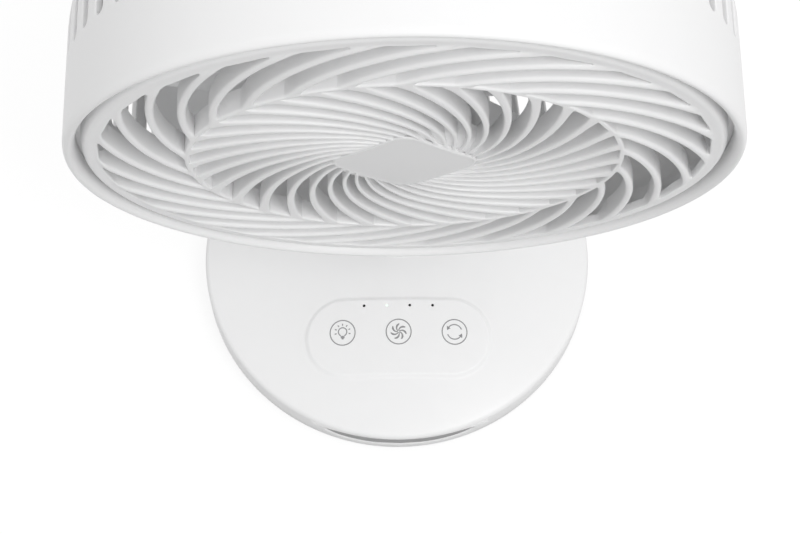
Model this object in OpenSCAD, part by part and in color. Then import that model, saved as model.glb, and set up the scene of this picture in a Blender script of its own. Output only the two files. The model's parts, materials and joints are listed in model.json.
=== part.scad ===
// Portable camping fan: a round battery base with a touch pad and a night light,
// a swivelling neck, and a tilting drum head with a swirl grille.
// Millimetres. Z is up, the front faces -Y, the origin is the centre of the underside.

/* [Base] */
// Outer diameter of the base
base_d = 155; // [150:1:165]
// Height of the crown of the base
base_h = 25; // [25:0.5:29]
// Rise of the crown above the shoulder edge
dome_rise = 12; // [10:0.5:12]
// Rounding of the shoulder edge
shoulder_round = 2.5; // [2.2:0.1:3.5]
// Wall of the upper shell
shell_wall = 2; // [1.6:0.1:2.2]
// Gap between the table and the skirt of the upper shell
skirt_gap = 0.8; // [0.5:0.1:1]
// Thickness of the bottom plate
plate_t = 2; // [2:0.1:2.4]
// Height of the underside of the bottom plate
plate_z = 1; // [1:0.1:1.2]
// Distance from the edge of the base in to the edge of the rubber pad
rubber_in = 16.5; // [15.5:0.5:26]
// Thickness of the rubber pad
rubber_t = 1.6; // [1.6:0.1:2]
// Distance from the edge of the base in to the base screws
base_screw_in = 10.5; // [9.5:0.5:11.5]

/* [Touch pad] */
// Length of the raised pad
pad_l = 73.4; // [66:0.2:78]
// Width of the raised pad
pad_w = 31.6; // [29:0.2:33]
// Height of the pad above the dome
pad_rise = 1; // [0.6:0.1:1.4]
// Distance from the centre of the base to the middle of the pad
pad_ahead = 38.8; // [38:0.2:40]
// Distance from one key to the next
key_pitch = 22; // [19:0.5:23]
// Distance from the centre of the base to the row of keys
key_ahead = 37; // [36:0.5:38]
// Distance from one light to the next
led_pitch = 9; // [7:0.2:9.4]
// Distance from the centre of the base to the row of lights
led_ahead = 26.4; // [26:0.1:26.8]
// Bore of each light hole
led_bore = 1.1; // [0.9:0.1:1.4]

/* [Night light] */
// Length of the slot in the front of the skirt, measured straight across
slot_l = 59; // [50:1:62]
// Height of the slot
slot_h = 4.4; // [3.5:0.1:5]
// Height of the slot's lower edge
slot_z = 3.3; // [3.2:0.1:3.8]

/* [Drive] */
// Distance behind the centre at which the head swivels
swivel_back = 18; // [17:0.5:20]
// Module of the swivel gears
gear_module = 1; // [0.95:0.01:1.02]
// Teeth of the turntable gear
table_teeth = 36; // [34:1:36]
// Teeth of the motor pinion
pinion_teeth = 15; // [14:1:16]
// Width of both gears
gear_w = 2.8; // [2.2:0.1:2.9]
// Diameter of the swivel motor
osc_motor_d = 24; // [20:0.5:24]
// Height of the swivel motor
osc_motor_h = 13.5; // [12:0.1:13.5]
// Radius of the turntable's hub
hub_r = 9; // [8:0.1:9.4]

/* [Neck] */
// Height of the tilt hinge
hinge_z = 71.5; // [69:0.5:80]
// Width of the neck
neck_w = 40; // [37:0.5:44]
// Depth of the neck
neck_t = 21; // [20:0.2:21.4]
// Diameter of the neck's foot
foot_d = 49; // [48:0.5:54]
// Width of the knuckle in the neck's fork
knuckle_w = 16; // [13:0.2:17]
// Diameter of the tilt bolt
bolt_d = 6; // [5:0.1:6.6]

/* [Head] */
// Outer diameter of the lip
head_d = 210.5; // [206:0.5:216]
// Wall of the drum
drum_wall = 2.3; // [2:0.1:2.6]
// Rounding of the lip
lip_round = 3; // [2.4:0.1:3.4]
// Taper of the drum's side in degrees
drum_taper = 1; // [0.5:0.1:1.4]
// Depth at which the side turns inward
turn_s = 36; // [35:0.5:40]
// Radius of the turn towards the back
back_round = 56; // [54:0.5:60]
// Depth of the seam between drum and rear cover
seam_s = 66; // [65:0.5:68]
// Distance from the hinge forward to the lip plane
lip_ahead = 45.5; // [44:0.5:47]
// Distance from the hinge to the side of the lip
hinge_drop = 13.5; // [13.4:0.1:16]
// Downward tilt of the head at rest
head_tilt = 6.5; // [4:0.5:8]
// Swivel of the head at rest
rest_yaw = 0; // [0:0.5:3]
// Number of vents around the drum
vents = 60; // [60:30:60]
// Width of a vent
vent_w = 4.8; // [3:0.1:5.2]
// Depth at which the vents start
vent_s = 27; // [24:0.5:30]

/* [Grille] */
// Distance from the lip's outer edge in to the flat rim
rim_gap = 5.25; // [4.9:0.05:6.2]
// Width of the flat rim
rim_w = 5.5; // [4:0.1:8]
// Radius of the ring between the two zones of fins
ring_r = 67.4; // [60:0.1:72]
// Number of inner fins
inner_fins = 32; // [24:1:36]
// Number of outer fins
outer_fins = 26; // [20:1:30]
// Depth of the fins
fin_depth = 7; // [5:0.1:7]
// Distance from corner to corner of the badge
badge_d = 45; // [43:0.5:49]

/* [Fan] */
// Distance from the lip's outer edge in to the blade tips
tip_gap = 13.25; // [12.25:0.25:19]
// Number of blades
blades = 7; // [5:1:9]
// Outer radius of the impeller's hub
impeller_hub_r = 26; // [25.4:0.1:30]
// Diameter of the motor shaft
shaft_d = 5; // [4:0.1:5.4]
// Outer radius of the motor's rotor
rotor_r = 22.5; // [21:0.1:23]

/* [Hidden] */
$fn = 96;
eps = 0.01;
fit = 0.05;      // radial clearance of a pin in its bore
seat = 0.3;      // clearance between bodies that pass each other
ease = 0.2;      // clearance between covers that nest

// ---- base: derived places
base_r = base_d / 2;
rubber_d = base_d - 2 * rubber_in;
base_screw_r = base_r - base_screw_in;
dome_r = (base_r * base_r + dome_rise * dome_rise) / (2 * dome_rise);
floor_z = plate_z + plate_t;
recess_z = rubber_t;                 // the rubber lies in a recess of the plate
inner_r = base_r - shell_wall;
plate_r = inner_r - ease;
function dome_z(r) = base_h - dome_r + sqrt(dome_r * dome_r - r * r);
function ceiling(r) = dome_z(r) - shell_wall / cos(asin(r / dome_r));

screw_land_h = 1.6;                  // plastic left under a base screw's head
screw_head_h = 1.6;
screw_head_d = 5.4;
base_screw_d = 2.8;
screw_land_z = plate_z + 0.2 + screw_head_h + 0.2;
land_top = screw_land_z + screw_land_h;

board_t = 1.6;
board_w = 65;
board_d = 24;
board_y = -pad_ahead - 0.2;
board_post_x = 28;
board_post_y = 8.5;
board_screw_d = 2;
board_top = ceiling(norm([board_w / 2, board_d / 2 - board_y])) - 1.4;
board_z = board_top - board_t;
spring_r = 3.2;
led_t = 1.6;

charge_post_h = 3;
charge_w = 22;
charge_d = 20;
charge_t = 1.2;
usb_w = 8.94;
usb_h = 3.26;
usb_l = 7.3;
charge_z = floor_z + charge_post_h;
usb_mid = charge_z + charge_t + usb_h / 2;
charge_front = inner_r - 0.8 - charge_d;

battery_w = 30;
battery_l = 50;
battery_t = 8;
battery_in = 19.5;                   // from the edge of the base in to the cells
battery_x = base_r - battery_in - battery_w;
battery_y = base_screw_r * cos(45) - battery_l - 5.4;
rib_h = 3;
rib_t = 1.2;

ballast_t = 4;
ballast_in = 29;
ballast_out = base_r - 17.5;
ballast_edge = battery_y - 5;

lens_t = 1.6;
lens_h = slot_h + 0.6;
lens_r = inner_r - ease;

// ---- drive: derived places
swivel = [0, swivel_back];
centres = gear_module * (table_teeth + pinion_teeth) / 2;
pinion_y = swivel_back - centres;
motor_shift = 6;                     // the geared motor's shaft is off its middle
motor_y = pinion_y - motor_shift;
motor_top = floor_z + osc_motor_h;
gear_z = motor_top + 0.4;
gear_top = gear_z + gear_w;
ear_x = osc_motor_d / 2 + 5.5;
ear_t = 0.8;
pinion_bore = 2;
washer_t = 1.4;
washer_z = gear_z - seat - washer_t;
ring_t = 1.2;
hub_end = floor_z + 1.7;
tower_ledge = hub_end + seat;
ring_r_out = hub_r + 4.4;
tower_foot_r = ring_r_out + 2.1;
tower_r = hub_r + 4;
lead_r = 2.3;
lead_bore = 2.8;
collar_r = foot_d / 2 - 0.5;
column_r = 19.2;
mouth_r = column_r + 0.5;
collar_top = dome_z(max(0, swivel_back - collar_r)) + 1.3;
foot_z = collar_top + 0.4;
stub_r = 8.4;
stub_top = foot_z + 15.4;

// ---- neck: derived places
foot_t = 3;
foot_fillet = 6;
fork_gap = 0.3;
slot_x = knuckle_w / 2 + fork_gap;
fork_floor = hinge_z - neck_t / 2 - 2;
cheek_end = neck_w / 2;
cap_t = 1;
cap_r = 7.4;
cup_depth = 3.6;
washer_gap = 0.03;
washer_r = 8;
washer_seat = 1;                     // depth of the friction washer's seat in the cheek
friction_t = washer_seat + fork_gap - washer_gap;
screw_seat = 5;                      // how far behind the split a neck screw's head bears
knuckle_r = 10;
neck_screw_d = 2.8;
neck_screw_x = 13;
neck_screw_z = foot_z + 9.5;

// ---- head: derived places
lip_r = head_d / 2;
axis_drop = lip_r + hinge_drop;
lead_s = lip_ahead - 6.2;            // the cable's passage down through the knuckle
turn_r = lip_r - tan(drum_taper) * (turn_s - lip_round);
depth = turn_s + back_round;
flat_r = turn_r - back_round;
function side_r(s) = s <= turn_s
    ? lip_r - tan(drum_taper) * (s - lip_round)
    : flat_r + sqrt(pow(back_round, 2) - pow(s - turn_s, 2));
vent_end = seam_s - 5;
vent_pitch = 360 / vents;
saddle_t = 2;
saddle_x = 22;
saddle_s = 17;                       // half of the saddle's length
saddle_screw_s = 13;
saddle_screw_x = 16;
arms = 5;
arm_w = 9;
lug_in = 20.25;                      // from the lip's outer edge in to a lug's inner end
lug_r = lip_r - lug_in;
mount_screw_r = lug_r + 7;
arm_end = mount_screw_r + 2.5;
lug_w = 5.6;
cover_land = 3;                      // depth behind the seam at which a cover screw's head bears
cover_screw_r = lug_r + 3.5;
mount_s = 49;
mount_t = 4;
ledge_s = 8.5;
rim_r = lip_r - rim_gap;
rim_in_r = rim_r - rim_w;
ledge_r = rim_r - 1;
fin_s = 1.6;
hub_disc_r = badge_d / 2 + 4;
fin_in_r = badge_d / 2 - 5.1;
badge_front = 0.1;                   // depth of the badge's crown behind the lip plane
inner_curl = 0.885;                  // tangent of the inner fins' slant
outer_sweep = -1.34;                 // degrees that an outer fin turns for each mm outwards
inner_phase = 159.1;
outer_phase = 160.9;
rad = 180 / PI;

// ---- fan: derived places
impeller_r = lip_r - tip_gap;
hub_s = 15;
hub_len = 29;
hub_wall = 2.4;
blade_s = 17.5;
blade_len = 25;
blade_t = 2;
camber_r = 44;
blade_chord = 34;
blade_lean = 40;
tube_r = 8;
bearing_r = 5.5;
bearing_w = 4;
front_bearing_s = 31;
rotor_s = hub_s + hub_wall + 3.6;
rotor_len = 22;
stator_r = rotor_r - 3;

// ---- screws that cut into plastic
tap_d = 2.6;
tap_head_d = 4.6;
tap_head_h = 1.6;
tap_bite = 6;                        // length in the plastic
tap_short = 5;                       // the same where there is less room
small_head_d = 3.8;
small_head_h = 1.3;

// ---- shared shapes
module ring(r_out, r_in, z0, z1) {
    translate([0, 0, z0]) difference() {
        cylinder(r = r_out, h = z1 - z0);
        translate([0, 0, -1]) cylinder(r = r_in, h = z1 - z0 + 2);
    }
}
module disc(r, z0, z1) { translate([0, 0, z0]) cylinder(r = r, h = z1 - z0); }
module stadium(l, w) {
    square([l - w, w], center = true);
    for (k = [-1, 1]) translate([k * (l - w) / 2, 0]) circle(d = w);
}
// Screw pointing along -Z, its head's underside at the origin.
module screw(d, l, head_d, head_h) {
    difference() {
        union() {
            translate([0, 0, -l]) cylinder(d = d, h = l + eps, $fn = 32);
            cylinder(d = head_d, h = head_h, $fn = 32);
        }
        for (a = [0, 90]) rotate(a)
            translate([-head_d * 0.3, -head_d * 0.07, head_h * 0.5])
                cube([head_d * 0.6, head_d * 0.14, head_h]);
    }
}
module at_base_screws() {
    for (a = [45:90:315]) rotate(a) translate([base_screw_r, 0, 0]) children();
}
module at_board_posts() {
    for (x = [-1, 1], y = [-1, 1])
        translate([x * board_post_x, board_y + y * board_post_y, 0]) children();
}
module at_charge_posts() {
    for (x = [-1, 1]) translate([x * (charge_w / 2 - 3.5), charge_front + 4, 0]) children();
}
module at_ears() {
    for (x = [-1, 1]) translate([x * ear_x, motor_y, 0]) children();
}
module at_keys() {
    for (k = [-1:1]) translate([k * key_pitch, -key_ahead, 0]) children();
}
module at_lights() {
    for (k = [-1.5:1.5]) translate([k * led_pitch, -led_ahead, 0]) children();
}

// ---- base: outline of the shell, t inside its outer skin
module base_outline(t) {
    r = base_r - t;
    dr = dome_r - t;
    f = max(shoulder_round - t, 0.3);
    mid_x = r - f;
    mid_z = base_h - dome_r + sqrt(pow(dr - f, 2) - mid_x * mid_x);
    intersection() {
        translate([0, base_h - dome_r]) circle(r = dr, $fn = 360);
        square([mid_x * dr / (dr - f), base_h + 5]);
    }
    square([r, mid_z]);
    translate([mid_x, mid_z]) circle(r = f);
}
module base_dome(t) { rotate_extrude() intersection() { base_outline(t); square(200); } }

module rubber_pad() {
    color("dimgray") difference() {
        disc(rubber_d / 2, 0, rubber_t - eps);
        for (r = [rubber_d / 2 - 8, rubber_d / 2 - 16]) ring(r + 1, r - 1, -1, 0.5);
    }
}

module base_lower_shell() {
    color("whitesmoke") difference() {
        union() {
            disc(plate_r, plate_z, floor_z);
            at_base_screws() disc(4.6, plate_z, land_top);
            at_board_posts() disc(2.6, floor_z - eps, board_z);
            at_charge_posts() disc(2.4, floor_z - eps, charge_z);
            at_ears() disc(3, floor_z - eps, motor_top - ear_t);
            translate(swivel) {
                disc(tower_foot_r, plate_z, tower_ledge + 2.6);
                disc(tower_r, floor_z, washer_z);
            }
            for (k = [0, 1]) mirror([k, 0, 0]) battery_ribs();
        }
        translate([0, 0, plate_z - 1]) cylinder(r = rubber_d / 2 + ease, h = recess_z - plate_z + 1);
        translate(swivel) {
            disc(ring_r_out + 0.5, -1, tower_ledge);
            disc(hub_r + fit, 0, washer_z + 1);
        }
        at_base_screws() {
            disc(screw_head_d / 2 + 0.3, -1, screw_land_z);
            disc(base_screw_d / 2 + fit, 0, land_top + 1);
        }
        at_board_posts() disc(board_screw_d / 2 + fit, board_z - 6, board_z + 1);
        at_charge_posts() disc(board_screw_d / 2 + fit, charge_z - 3.4, charge_z + 1);
        at_ears() disc(tap_d / 2 + fit, motor_top - ear_t - 6, motor_top + 1);
    }
}
module battery_ribs() {
    gap = rib_t + ease;
    difference() {
        translate([battery_x - gap, battery_y - gap, floor_z - eps])
            cube([battery_w + 2 * gap, battery_l + 2 * gap, rib_h]);
        translate([battery_x - ease, battery_y - ease, floor_z - 1])
            cube([battery_w + 2 * ease, battery_l + 2 * ease, rib_h + 2]);
    }
}

module slot_cut() {
    half = slot_l / 2;
    tip = slot_h * 0.8;
    mid = slot_z + slot_h / 2;
    translate([0, -base_r * 0.7, 0]) rotate([90, 0, 0]) linear_extrude(base_r)
        polygon([[-half, mid], [-half + tip, slot_z], [half - tip, slot_z],
                 [half, mid], [half - tip, slot_z + slot_h], [-half + tip, slot_z + slot_h]]);
}

module base_upper_shell() {
    boss_r = 3.3;
    color("white") difference() {
        union() {
            difference() {
                union() {
                    base_dome(0);
                    intersection() {
                        translate([0, -pad_ahead, 0]) linear_extrude(base_h + 5) stadium(pad_l, pad_w);
                        base_dome(-pad_rise);
                    }
                }
                base_dome(shell_wall);
            }
            intersection() {
                at_base_screws() disc(boss_r, land_top, base_h);
                base_dome(shell_wall / 2);
            }
            difference() {
                translate(swivel) disc(collar_r, base_h - 4, collar_top);
                base_dome(shell_wall);
            }
        }
        disc(base_r + 1, -1, skirt_gap);
        translate(swivel) disc(mouth_r, 0, base_h + 10);
        at_lights() disc(led_bore / 2, base_h - 9, base_h + 5);
        at_base_screws() disc(base_screw_d / 2 + fit, 0, land_top + 6.5);
        slot_cut();
        translate([0, base_r - 8, usb_mid]) rotate([-90, 0, 0])
            linear_extrude(20) stadium(usb_w + 0.5, usb_h + 0.5);
    }
}

module base_screws() {
    color("silver") at_base_screws() translate([0, 0, screw_land_z])
        rotate([180, 0, 0]) screw(base_screw_d, screw_land_h + 6, screw_head_d, screw_head_h);
}

module ballast_plate() {
    color("slategray") difference() {
        intersection() {
            ring(ballast_out, ballast_in, floor_z, floor_z + ballast_t);
            translate([-base_d, ballast_edge - 2 * base_d, 0]) cube([2 * base_d, 2 * base_d, base_h]);
        }
        at_board_posts() disc(2.6 + ease, 0, 50);
        at_base_screws() disc(5, 0, 50);
    }
}

module battery_cells() {
    seam = 1.2;
    color("steelblue") for (k = [0, 1]) mirror([k, 0, 0])
        translate([battery_x, battery_y, floor_z]) {
            translate([0, seam, 0]) cube([battery_w, battery_l - seam, battery_t]);
            translate([2, 0, battery_t / 2 - 0.5]) cube([battery_w - 4, seam + 1, 1]);
        }
}

module control_board() {
    color("darkgreen") difference() {
        union() {
            translate([-board_w / 2, board_y - board_d / 2, board_z]) cube([board_w, board_d, board_t]);
            translate([-9, board_y - 6, board_z - 2]) cube([8, 8, 2 + eps]);
            translate([6, board_y - 5, board_z - 4]) cube([10, 5, 4 + eps]);
        }
        at_board_posts() disc(board_screw_d / 2 + 0.1, 0, 50);
    }
}
module board_screws() {
    color("silver") {
        at_board_posts() translate([0, 0, board_top])
            screw(board_screw_d, board_t + tap_short, small_head_d, small_head_h);
        at_charge_posts() translate([0, 0, charge_z + charge_t])
            screw(board_screw_d, charge_t + charge_post_h + 0.2, small_head_d, small_head_h);
    }
}
module touch_springs() {
    color("gold") for (k = [-1:1])
        translate([k * key_pitch, -key_ahead, 0]) {
            top = ceiling(norm([abs(k) * key_pitch + spring_r, key_ahead + spring_r])) - 0.3;
            ring(spring_r, spring_r - 0.7, board_top, top - 0.6);
            disc(spring_r, top - 0.6 - eps, top);
        }
}
module indicator_leds() {
    color("lightgreen") at_lights() translate([-1.5, -1, board_top]) cube([3, 2, led_t]);
}
module light_guide() {
    bar = 3;
    bar_y = -led_ahead - bar + led_bore / 2 + fit;
    bar_z = board_top + led_t + 0.4;
    bar_top = ceiling(norm([2 * led_pitch, -bar_y])) - 0.3;
    color("lightcyan") {
        intersection() {
            at_lights() disc(led_bore / 2 - fit, bar_z, base_h + 5);
            base_dome(0.1 - pad_rise);
        }
        translate([-1.9 * led_pitch, bar_y, bar_z])
            cube([3.8 * led_pitch, bar, bar_top - bar_z]);
        for (k = [-1, 1]) translate([k * 1.9 * led_pitch - 0.8, bar_y, board_top])
            cube([1.6, bar, bar_top - board_top]);
    }
}

module night_light_lens() {
    reach = 50;
    color("gainsboro") intersection() {
        ring(lens_r, lens_r - lens_t, floor_z, slot_z + lens_h);
        translate([-slot_l / 2 - 1.5, -reach - lens_r, 0]) cube([slot_l + 3, 2 * reach, 50]);
        translate([0, -lens_r, 0]) cube([2 * base_r, lens_r, 50], center = true);
    }
}
module night_light_board() {
    strip_r = lens_r - lens_t - 0.9;
    color("khaki") intersection() {
        union() {
            ring(strip_r - 1.4, strip_r - 2.4, floor_z, slot_z + lens_h);
            for (a = [-15:6:15]) rotate(a) translate([-1.4, -strip_r, slot_z + 0.8]) cube([2.8, 1.6, 2.8]);
        }
        translate([-slot_l / 2 + 4, -2 * base_r, 0]) cube([slot_l - 8, 2 * base_r, 50]);
    }
}

module charge_board() {
    color("darkgreen") difference() {
        union() {
            translate([-charge_w / 2, charge_front, charge_z]) cube([charge_w, charge_d, charge_t]);
            translate([-4, charge_front + 2, charge_z + charge_t - eps]) cube([6, 6, 1]);
        }
        at_charge_posts() disc(board_screw_d / 2 + 0.1, 0, 50);
    }
}
module usb_socket() {
    wall = 0.35;
    mouth_y = base_r - 0.5;
    color("silver") translate([0, mouth_y, usb_mid]) rotate([90, 0, 0]) {
        difference() {
            linear_extrude(usb_l) stadium(usb_w, usb_h);
            translate([0, 0, -1]) linear_extrude(usb_l) stadium(usb_w - 2 * wall, usb_h - 2 * wall);
        }
        translate([-usb_w * 0.36, -0.35, 1]) cube([usb_w * 0.72, 0.7, usb_l - 1.5]);
    }
}

// ---- swivel drive
function inv(a) = tan(a) * rad - a;
module gear(teeth, bore, w) {
    pr = gear_module * teeth / 2;
    br = pr * cos(20);
    tip = pr + 0.8 * gear_module;
    root = pr - 1.05 * gear_module;
    backlash = 0.14 * gear_module;
    half = 90 / teeth - backlash / 2 / pr * rad;
    function edge(r) = half + inv(20) - (r > br ? inv(acos(br / r)) : 0);
    radii = [root - 0.3, max(br, root), max(br, root) + 0.25 * (tip - br), pr,
             (pr + tip) / 2, tip];
    difference() {
        linear_extrude(w) {
            circle(r = root);
            for (k = [0:teeth - 1]) rotate(k * 360 / teeth)
                polygon(concat([for (r = radii) r * [cos(edge(r)), -sin(edge(r))]],
                               [for (i = [5:-1:0]) radii[i] * [cos(edge(radii[i])), sin(edge(radii[i]))]]));
        }
        translate([0, 0, -1]) cylinder(r = bore, h = w + 2);
    }
}

module thrust_washer() {
    color("ivory") translate(swivel) ring(column_r - 3, hub_r + ease, washer_z, washer_z + washer_t);
}
module swivel_motor() {
    color("lightgray") difference() {
        union() {
            translate([0, motor_y, 0]) disc(osc_motor_d / 2, floor_z, motor_top);
            translate([0, motor_y, motor_top - ear_t]) linear_extrude(ear_t) stadium(2 * ear_x + 7, 7);
            translate([-7, motor_y - osc_motor_d / 2 - 0.9, floor_z + 2])
                cube([14, 6, board_top - 2.3 - floor_z - 2]);
        }
        at_ears() disc(1.5, 0, 50);
        translate([0, pinion_y, 0]) disc(pinion_bore + fit, motor_top - 5, motor_top + 1);
    }
}
module motor_ear_screws() {
    color("silver") at_ears() translate([0, 0, motor_top])
        screw(tap_d, ear_t + tap_short, tap_head_d, tap_head_h);
}
module pinion_shaft() {
    color("silver") translate([0, pinion_y, 0]) disc(pinion_bore, motor_top - 4.8, gear_top + 0.2);
}
module swivel_pinion() {
    color("ivory") translate([0, pinion_y, gear_z])
        rotate(90 + 180 / pinion_teeth - rest_yaw * table_teeth / pinion_teeth)
            gear(pinion_teeth, pinion_bore, gear_w);
}

module turntable() {
    color("ivory") translate(swivel) rotate(rest_yaw) difference() {
        union() {
            translate([0, 0, gear_z]) rotate(-90) gear(table_teeth, 1, gear_w);
            disc(hub_r, hub_end, gear_z + eps);
            disc(min(column_r, gear_module * (table_teeth / 2 - 1)), gear_z, gear_top + 0.5);
            disc(column_r, gear_top + 0.4, foot_z);
            disc(stub_r, foot_z - eps, stub_top);
        }
        disc(lead_bore, -1, 100);
        for (a = [0:120:240]) rotate(a) translate([hub_r - 2.8, 0, 0]) disc(1 + fit, 0, hub_end + 6);
    }
}
module retaining_ring() {
    color("silver") translate(swivel) rotate(rest_yaw) difference() {
        ring(ring_r_out, lead_bore + 0.4, hub_end - ring_t, hub_end);
        for (a = [0:120:240]) rotate(a) translate([hub_r - 2.8, 0, 0]) disc(1 + 0.1, 0, 50);
    }
}
module hub_screws() {
    color("silver") translate(swivel) for (a = [0:120:240])
        rotate(a + rest_yaw) translate([hub_r - 2.8, 0, hub_end - ring_t])
            rotate([180, 0, 0]) screw(2, ring_t + tap_short, small_head_d, 1);
}

// ---- neck, in its own frame: Z up through the swivel axis
module in_neck() { translate(swivel) rotate(rest_yaw) children(); }
module along_bolt(x) { translate([x, 0, hinge_z]) rotate([0, 90, 0]) children(); }
module neck_body() {
    difference() {
        union() {
            disc(foot_d / 2, foot_z, foot_z + foot_t);
            intersection() {
                rotate_extrude() difference() {
                    translate([0, foot_z + foot_t - eps])
                        square([neck_t / 2 + foot_fillet, foot_fillet]);
                    translate([neck_t / 2 + foot_fillet, foot_z + foot_t + foot_fillet])
                        circle(r = foot_fillet);
                }
                disc(foot_d / 2, 0, 100);
            }
            intersection() {
                translate([0, 0, foot_z]) linear_extrude(hinge_z) stadium(neck_w, neck_t);
                translate([-neck_w, 0, 0]) rotate([90, 0, 90]) linear_extrude(2 * neck_w) {
                    translate([-neck_t / 2, foot_z]) square([neck_t, hinge_z - foot_z]);
                    translate([0, hinge_z]) circle(d = neck_t);
                }
            }
            along_bolt(-cheek_end) cylinder(d = neck_t, h = neck_w);
        }
        translate([-slot_x, -neck_t, fork_floor]) cube([2 * slot_x, 2 * neck_t, hinge_z]);
        disc(stub_r + fit, 0, stub_top + 1);
        translate([0, 0, stub_top + 0.9]) linear_extrude(fork_floor - stub_top - 4)
            stadium(neck_w - 5, neck_t - 5);
        disc(lead_bore + 0.4, 0, 100);
        along_bolt(-neck_w) cylinder(d = bolt_d + 2 * fit, h = 2 * neck_w);
        for (k = [0, 1]) mirror([k, 0, 0]) {
            along_bolt(cheek_end - cup_depth) cylinder(r = cap_r + 0.1, h = 10);
            along_bolt(0) cylinder(r = washer_r + 0.1, h = slot_x + washer_seat);
        }
        at_neck_screws() {
            translate([0, 0, -neck_t]) cylinder(d = neck_screw_d + 2 * fit, h = 2 * neck_t - 4.5, $fn = 32);
            cylinder(r = 2.8, h = 20, $fn = 32);
        }
    }
}
// Children point along -Z into the neck from behind.
module at_neck_screws() {
    for (p = [[-neck_screw_x, neck_screw_z], [neck_screw_x, neck_screw_z]])
        translate([p[0], screw_seat, p[1]]) rotate([-90, 0, 0]) children();
}
module neck_front_shell() {
    color("white") in_neck() intersection() {
        neck_body();
        translate([-100, -200, 0]) cube([200, 200, 200]);
    }
}
module neck_rear_shell() {
    color("white") in_neck() intersection() {
        neck_body();
        translate([-100, 0, 0]) cube([200, 200, 200]);
    }
}
module neck_screws() {
    color("silver") in_neck() at_neck_screws() screw(neck_screw_d, screw_seat + tap_bite, 5.2, tap_head_h);
}
module tilt_bolt() {
    color("silver") in_neck() {
        along_bolt(-cheek_end + cap_t + 0.4) cylinder(d = bolt_d, h = 2 * cheek_end - cup_depth - cap_t);
        along_bolt(cheek_end - cup_depth) difference() {
            cylinder(r = 5.4, h = cup_depth - cap_t - 0.3);
            translate([0, 0, 1]) cylinder(r = 2, h = 5, $fn = 6);
        }
    }
}
module spring_washer() {
    color("gray") in_neck() along_bolt(-cheek_end + cup_depth - 0.7)
        ring(5.4, bolt_d / 2 + 0.15, 0, 0.7);
}
module tilt_nut() {
    color("silver") in_neck() along_bolt(-cheek_end + cap_t + 0.4) difference() {
        cylinder(r = 5.4, h = cup_depth - cap_t - 1.2, $fn = 6);
        translate([0, 0, -1]) cylinder(d = bolt_d + 2 * fit, h = 6);
    }
}
module friction_washers() {
    color("dimgray") in_neck() for (k = [0, 1]) mirror([k, 0, 0])
        along_bolt(slot_x + washer_seat) mirror([0, 0, 1]) ring(washer_r, bolt_d / 2 + 0.15, 0, friction_t);
}
module hinge_caps() {
    color("white") in_neck() for (k = [0, 1]) mirror([k, 0, 0])
        along_bolt(cheek_end - cap_t) cylinder(r = cap_r, h = cap_t);
}
module neck_lead() {
    color("dimgray") in_neck() disc(lead_r, hub_end, fork_floor + 0.5);
}

// ---- head, in its own frame: X right, Y down, Z back from the plane of the lip
module in_head() {
    in_neck() translate([0, 0, hinge_z]) rotate([head_tilt, 0, 0])
        translate([0, -lip_ahead, axis_drop]) rotate([-90, 0, 0]) children();
}
module head_outline(t) {
    polygon([[0, lip_round], [side_r(lip_round) - t, lip_round], [turn_r - t, turn_s], [0, turn_s]]);
    intersection() {
        translate([flat_r, turn_s]) circle(r = back_round - t, $fn = 180);
        translate([0, turn_s - eps]) square(lip_r + 20);
    }
    translate([0, turn_s - eps]) square([flat_r, back_round - t + eps]);
}
module drum_solid() {
    rotate_extrude() {
        head_outline(0);
        square([lip_r - lip_round, lip_round + eps]);
        intersection() {
            translate([lip_r - lip_round, lip_round]) circle(r = lip_round);
            square([lip_r + 1, lip_round]);
        }
    }
}
module drum_hollow() {
    rotate_extrude() {
        head_outline(drum_wall);
        translate([0, -1]) square([lip_r - drum_wall, lip_round + 1 + eps]);
    }
}
module at_arms() {
    for (k = [0:arms - 1]) rotate(90 + k * 360 / arms) children();
}
module at_saddle_screws() {
    for (x = [-1, 1], s = [-1, 1])
        translate([x * saddle_screw_x, 0, lip_ahead + s * saddle_screw_s]) rotate([-90, 0, 0]) children();
}
module vent_slots() {
    for (k = [0:vents - 1])
        if (abs((k + 0.5) * vent_pitch - 90) > 15)
            rotate((k + 0.5) * vent_pitch) {
                translate([lip_r - 25, 0, vent_s + vent_w / 2])
                    rotate([0, 90, 0]) cylinder(d = vent_w, h = 40, $fn = 24);
                translate([lip_r - 25, -vent_w / 2, vent_s + vent_w / 2])
                    cube([40, vent_w, vent_end - vent_s - vent_w / 2]);
            }
}
module drum_housing() {
    color("white") in_head() difference() {
        union() {
            difference() {
                drum_solid();
                drum_hollow();
                vent_slots();
            }
            intersection() {
                difference() {
                    ring(lip_r, ledge_r, ledge_s, ledge_s + 2);
                    at_arms() translate([ledge_r - 3, -6, 0]) cube([3.5, 12, 20]);
                }
                rotate_extrude() head_outline(drum_wall / 2);
            }
            intersection() {
                union() {
                    at_arms() translate([lug_r, -lug_w / 2, mount_s + mount_t])
                        cube([30, lug_w, seam_s - mount_s - mount_t]);
                    at_saddle_screws() disc(3.4, side_r(lip_ahead + saddle_screw_s) - drum_wall - 4.5, lip_r);
                }
                rotate_extrude() head_outline(drum_wall / 2);
            }
        }
        translate([0, 0, seam_s]) cylinder(r = lip_r + 10, h = 100);
        at_arms() {
            translate([cover_screw_r, 0, 0]) disc(tap_d / 2 + fit, seam_s - 8, seam_s + 1);
            translate([mount_screw_r, 0, 0]) disc(tap_d / 2 + fit, mount_s, mount_s + mount_t + 7);
        }
        at_saddle_screws() disc(tap_d / 2 + fit, lip_r - 25, lip_r + 10);
        translate([0, 0, lead_s]) rotate([-90, 0, 0]) disc(lead_bore, lip_r - 15, lip_r + 10);
    }
}

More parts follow.
